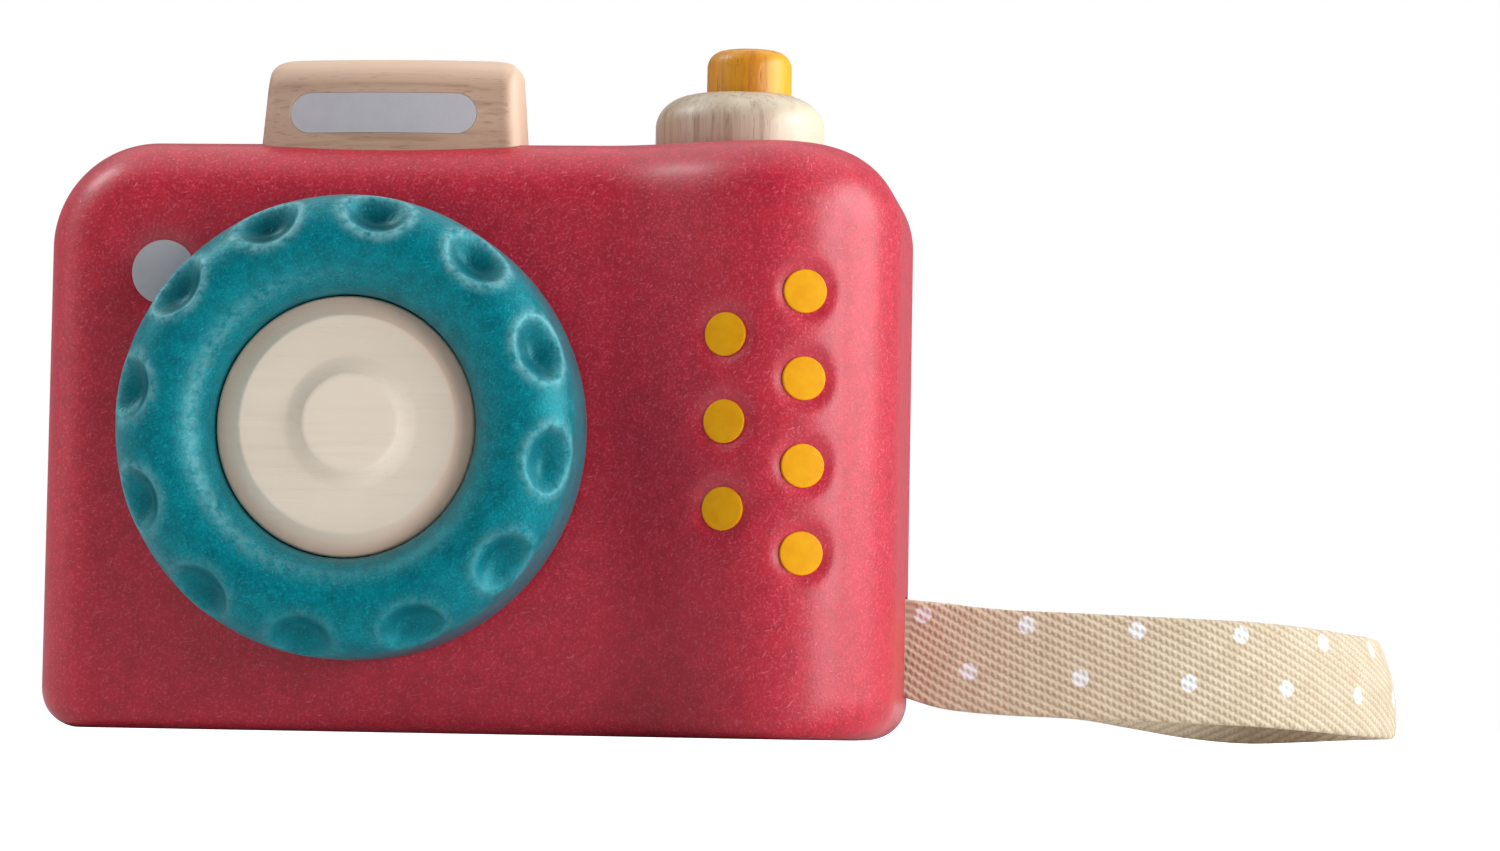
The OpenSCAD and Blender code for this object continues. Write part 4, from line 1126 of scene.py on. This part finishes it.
def block_form():
    """Outer form of the flash block, with its drafted sides and rounded brow."""
    brow_z = BLOCK_H - BLOCK_BROW
    heights = [-BLOCK_SINK, 0.0] + between(0.0, brow_z, BLOCK_SIDE_PARTS) + [brow_z]
    for i in range(1, BLOCK_BROW_PARTS + 1):
        heights.append(brow_z + BLOCK_BROW * math.sin(math.pi / 2 * i / BLOCK_BROW_PARTS))
    rows = []
    for h in heights:
        inset = draft_inset(h) + edge_inset(BLOCK_ROUND, h - BLOCK_H + BLOCK_ROUND)
        front = draft_inset(h) + edge_inset(BLOCK_BROW, h - brow_z)
        rows.append([(x, y, BODY_H + h) for x, y in block_plan(inset, front)])
    return loft(rows)


def window_prism(gap):
    """Stadium that runs out of the block's sloping front from the floor of its recess."""
    r = WINDOW_H / 2 + gap
    half = (WINDOW_W - WINDOW_H) / 2
    stadium = arc(half, 0, r, r, -90, 90, 32) + arc(-half, 0, r, r, 90, 270, 32)
    floor_y = BLOCK_Y + draft_inset(WINDOW_Z - BODY_H) + BLOCK_BOW + WINDOW_T
    floor = Vector((WINDOW_X, floor_y, WINDOW_Z))
    out = Vector((0, -math.cos(BLOCK_DRAFT), math.sin(BLOCK_DRAFT)))
    up = Vector((0, math.sin(BLOCK_DRAFT), math.cos(BLOCK_DRAFT)))

    def at(u, v, h):
        return floor + Vector((u, 0, 0)) + up * v + out * h

    return prism(stadium, 0.0, BLOCK_D / 2, at)


def make_block():
    """Flash block with its dowel holes, and the silver print in its recess."""
    block = make_piece("flash_block_shaped", *block_form(), BLOCK_WOOD)
    cut_by(block, window_prism(INLAY_GAP))
    foot = BODY_H - BLOCK_SINK
    for side in (-1, 1):
        hole = circle(BLOCK_X + side * DOWEL_PITCH / 2, BLOCK_Y + BLOCK_D / 2, DOWEL_R, count=48)
        cut_prism(block, hole, foot - CUT_OVER, foot + DOWEL_IN_BLOCK, upright)
    finish_mesh(block, SHARP_CUT)
    # Painted light: paler on the top of the brow, where the overhead lamp falls, and on the side turned to
    # the right
    brow_z = BODY_H + BLOCK_H - BLOCK_BROW
    above = [v.co.z for v in block.data.vertices]
    pale = np.interp(above, (brow_z + 0.25 * BLOCK_BROW, brow_z + 0.75 * BLOCK_BROW), (0.0, 1.0))
    set_shares(block, "painted_light", np.maximum(BLOCK_BROW_PAINTED_LIGHT * pale, lit_side(block)))
    stand_for(block, "housing", "natural_wood", "flash_block")
    window = make_piece("flash_window_print", *block_form(), SILVER)
    cut_by(window, window_prism(0.0), "INTERSECT")
    window.data.materials.clear()
    window.data.materials.append(SILVER)
    finish_mesh(window, SHARP_CUT)
    stand_for(window, "housing", "silver_print", "flash_window")


# Wrist loop

def strap_curve():
    """Smooth curve through the route: points in the frame, and the lean at each."""
    route = np.array(STRAP_ROUTE_MM, float)
    last = len(route) - 1
    curve = []
    for i in range(last):
        a, b, c, d = route[max(i - 1, 0)], route[i], route[i + 1], route[min(i + 2, last)]
        for k in range(ROUTE_PARTS):
            t = k / ROUTE_PARTS
            square = (2 * a - 5 * b + 4 * c - d) * t ** 2
            cube = (3 * b - a - 3 * c + d) * t ** 3
            curve.append(0.5 * (2 * b + (c - a) * t + square + cube))
    curve.append(route[last])
    curve = np.array(curve)
    points = curve[:, :3] * MM + np.array((HALF_W, STRAP_Y, 0.0))
    return points, np.radians(curve[:, 3])


def resample(points, lean, step):
    """Points and leans at even steps along the curve, with their distance from its start."""
    gaps = np.linalg.norm(np.diff(points, axis=0), axis=1)
    run = np.concatenate(([0.0], np.cumsum(gaps)))
    count = int(round(run[-1] / step))
    at = np.linspace(0.0, run[-1], count + 1)
    even = np.stack([np.interp(at, run, points[:, i]) for i in range(3)], axis=1)
    return even, np.interp(at, run, lean), at


def make_strap():
    """Ribbed tape from the slot round its loop and back, narrower in the slot."""
    points, lean, run = resample(*strap_curve(), STRAP_STEP)
    total = run[-1]
    tangent = np.gradient(points, axis=0)
    tangent[0] = (1, 0, 0)
    tangent[-1] = (-1, 0, 0)
    tangent /= np.linalg.norm(tangent, axis=1)[:, None]
    up = np.stack([-np.sin(lean), np.zeros(len(lean)), np.cos(lean)], axis=1)
    side = np.cross(tangent, up)
    side /= np.linalg.norm(side, axis=1)[:, None]
    up = np.cross(side, tangent)

    across = np.linspace(-1.0, 1.0, STRAP_COLUMNS)
    rows, coords = [], []
    for p, u, s, at in zip(points, up, side, run):
        spread = smooth_rise(min(1.0, min(at, total - at) / STRAP_GATHER))
        width = STRAP_SLOT_W + (STRAP_W - STRAP_SLOT_W) * spread
        belly = STRAP_BELLY * max(0.0, math.sin(math.pi * at / total)) ** 3
        row = []
        for face in (1, -1):
            for c in across * face:
                v = c * STRAP_W / 2
                phase = (at * math.sin(TWILL_ANGLE) + v * math.cos(TWILL_ANGLE)) / TWILL_PITCH
                rib = 0.5 + 0.5 * math.cos(2 * math.pi * phase)
                full = math.sqrt(max(0.0, 1 - abs(c) ** STRAP_EDGE_POWER))
                half = STRAP_T / 2 - TWILL_DEPTH * (1 - math.sqrt(rib))
                half *= STRAP_EDGE_SHARE + (1 - STRAP_EDGE_SHARE) * full
                row.append(p + u * (c * width / 2) + s * (face * half + belly * (1 - c * c)))
                coords.append((at, v))
        rows.append(row)
    strap = make_piece("wrist_tape", *loft(rows), TAPE, SHARP_TAPE)
    layer = strap.data.uv_layers.new(name="tape")
    index = np.zeros(len(strap.data.loops), int)
    strap.data.loops.foreach_get("vertex_index", index)
    layer.data.foreach_set("uv", np.array(coords)[index].ravel())
    stand_for(strap, "housing", "strap_tape", "strap")


# Pieces whose CAD shape stays: they get their finish only

def finish_inner():
    for name, material in (
        ("cover_screws", STEEL), ("hub_washer", STEEL), ("hub_screw", STEEL), ("button_spring", STEEL),
        ("lens_hub", INNER_WOOD), ("flash_dowels", INNER_WOOD), ("strap_pin", INNER_WOOD),
        ("felt_washer", FELT), ("strap_ends", TAPE),
    ):
        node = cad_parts[name]
        node.data.materials.clear()
        node.data.materials.append(material)


# Stage

def make_camera():
    """The photograph's camera."""
    data = bpy.data.cameras.new("photo_camera")
    data.sensor_width = SENSOR
    data.lens = FOCAL_PX / PHOTO_W * SENSOR
    data.clip_start = 0.01
    data.clip_end = 20.0
    camera = bpy.data.objects.new("photo_camera", data)
    bpy.context.scene.collection.objects.link(camera)
    right = Vector((math.cos(CAMERA_YAW), math.sin(CAMERA_YAW), 0))
    look = Vector((
        -math.sin(CAMERA_YAW) * math.cos(CAMERA_PITCH),
        math.cos(CAMERA_YAW) * math.cos(CAMERA_PITCH),
        math.sin(CAMERA_PITCH),
    ))
    up = right.cross(look)
    x = right * math.cos(CAMERA_ROLL) + up * math.sin(CAMERA_ROLL)
    y = up * math.cos(CAMERA_ROLL) - right * math.sin(CAMERA_ROLL)
    turn = Matrix((x, y, -look)).transposed().to_4x4()
    camera.matrix_world = Matrix.Translation(CAMERA_AT) @ turn
    bpy.context.scene.camera = camera


def area_light(name, at, size, power):
    """Soft lamp that faces the middle of the toy."""
    data = bpy.data.lights.new(name, "AREA")
    data.shape = "RECTANGLE"
    data.size, data.size_y = size
    data.energy = power
    lamp = bpy.data.objects.new(name, data)
    bpy.context.scene.collection.objects.link(lamp)
    lamp.location = at
    aim = Vector((0.0, 0.0, LAMP_AIM_Z)) - Vector(at)
    lamp.rotation_mode = "QUATERNION"
    lamp.rotation_quaternion = aim.to_track_quat("-Z", "Y")


def make_room():
    """Surroundings that light the toy less from the front, and look white to the camera."""
    scene = bpy.context.scene
    scene.view_settings.view_transform = "Standard"
    world = bpy.data.worlds.new("studio")
    scene.world = world
    world.use_nodes = True
    tree = world.node_tree
    back = tree.nodes["Background"]
    ray = add(tree, "ShaderNodeTexCoord").outputs["Generated"]
    way = add(tree, "ShaderNodeSeparateXYZ", {"Vector": ray})
    around = span(tree, way.outputs["Y"], -0.85, 0.3, ROOM_FRONT, ROOM_AROUND)
    seen = add(tree, "ShaderNodeLightPath").outputs["Is Camera Ray"]
    tree.links.new(largest(tree, [around, seen]), back.inputs["Strength"])
    back.inputs["Color"].default_value = WHITE


def make_floor():
    """Pale floor that glows to the camera, so that it nears the white of the background."""
    material, tree, bsdf = new_material("pale_floor", Roughness=0.9, Specular_IOR_Level=0.0)
    bsdf.inputs["Base Color"].default_value = (FLOOR_GREY, FLOOR_GREY, FLOOR_GREY, 1)
    bsdf.inputs["Emission Color"].default_value = WHITE
    seen = add(tree, "ShaderNodeLightPath").outputs["Is Camera Ray"]
    tree.links.new(times(tree, seen, FLOOR_GLOW), bsdf.inputs["Emission Strength"])
    half = FLOOR_HALF
    corners = [(-half, -half, 0), (half, -half, 0), (half, half, 0), (-half, half, 0)]
    floor = make_piece("floor", corners, [(0, 1, 2, 3)], material)


make_camera()
make_strap()
make_body()
make_cover()
make_dots()
make_ring()
make_disc()
make_collar()
make_button()
make_block()
finish_inner()
make_room()
make_floor()
for lamp in LAMPS:
    area_light(*lamp)
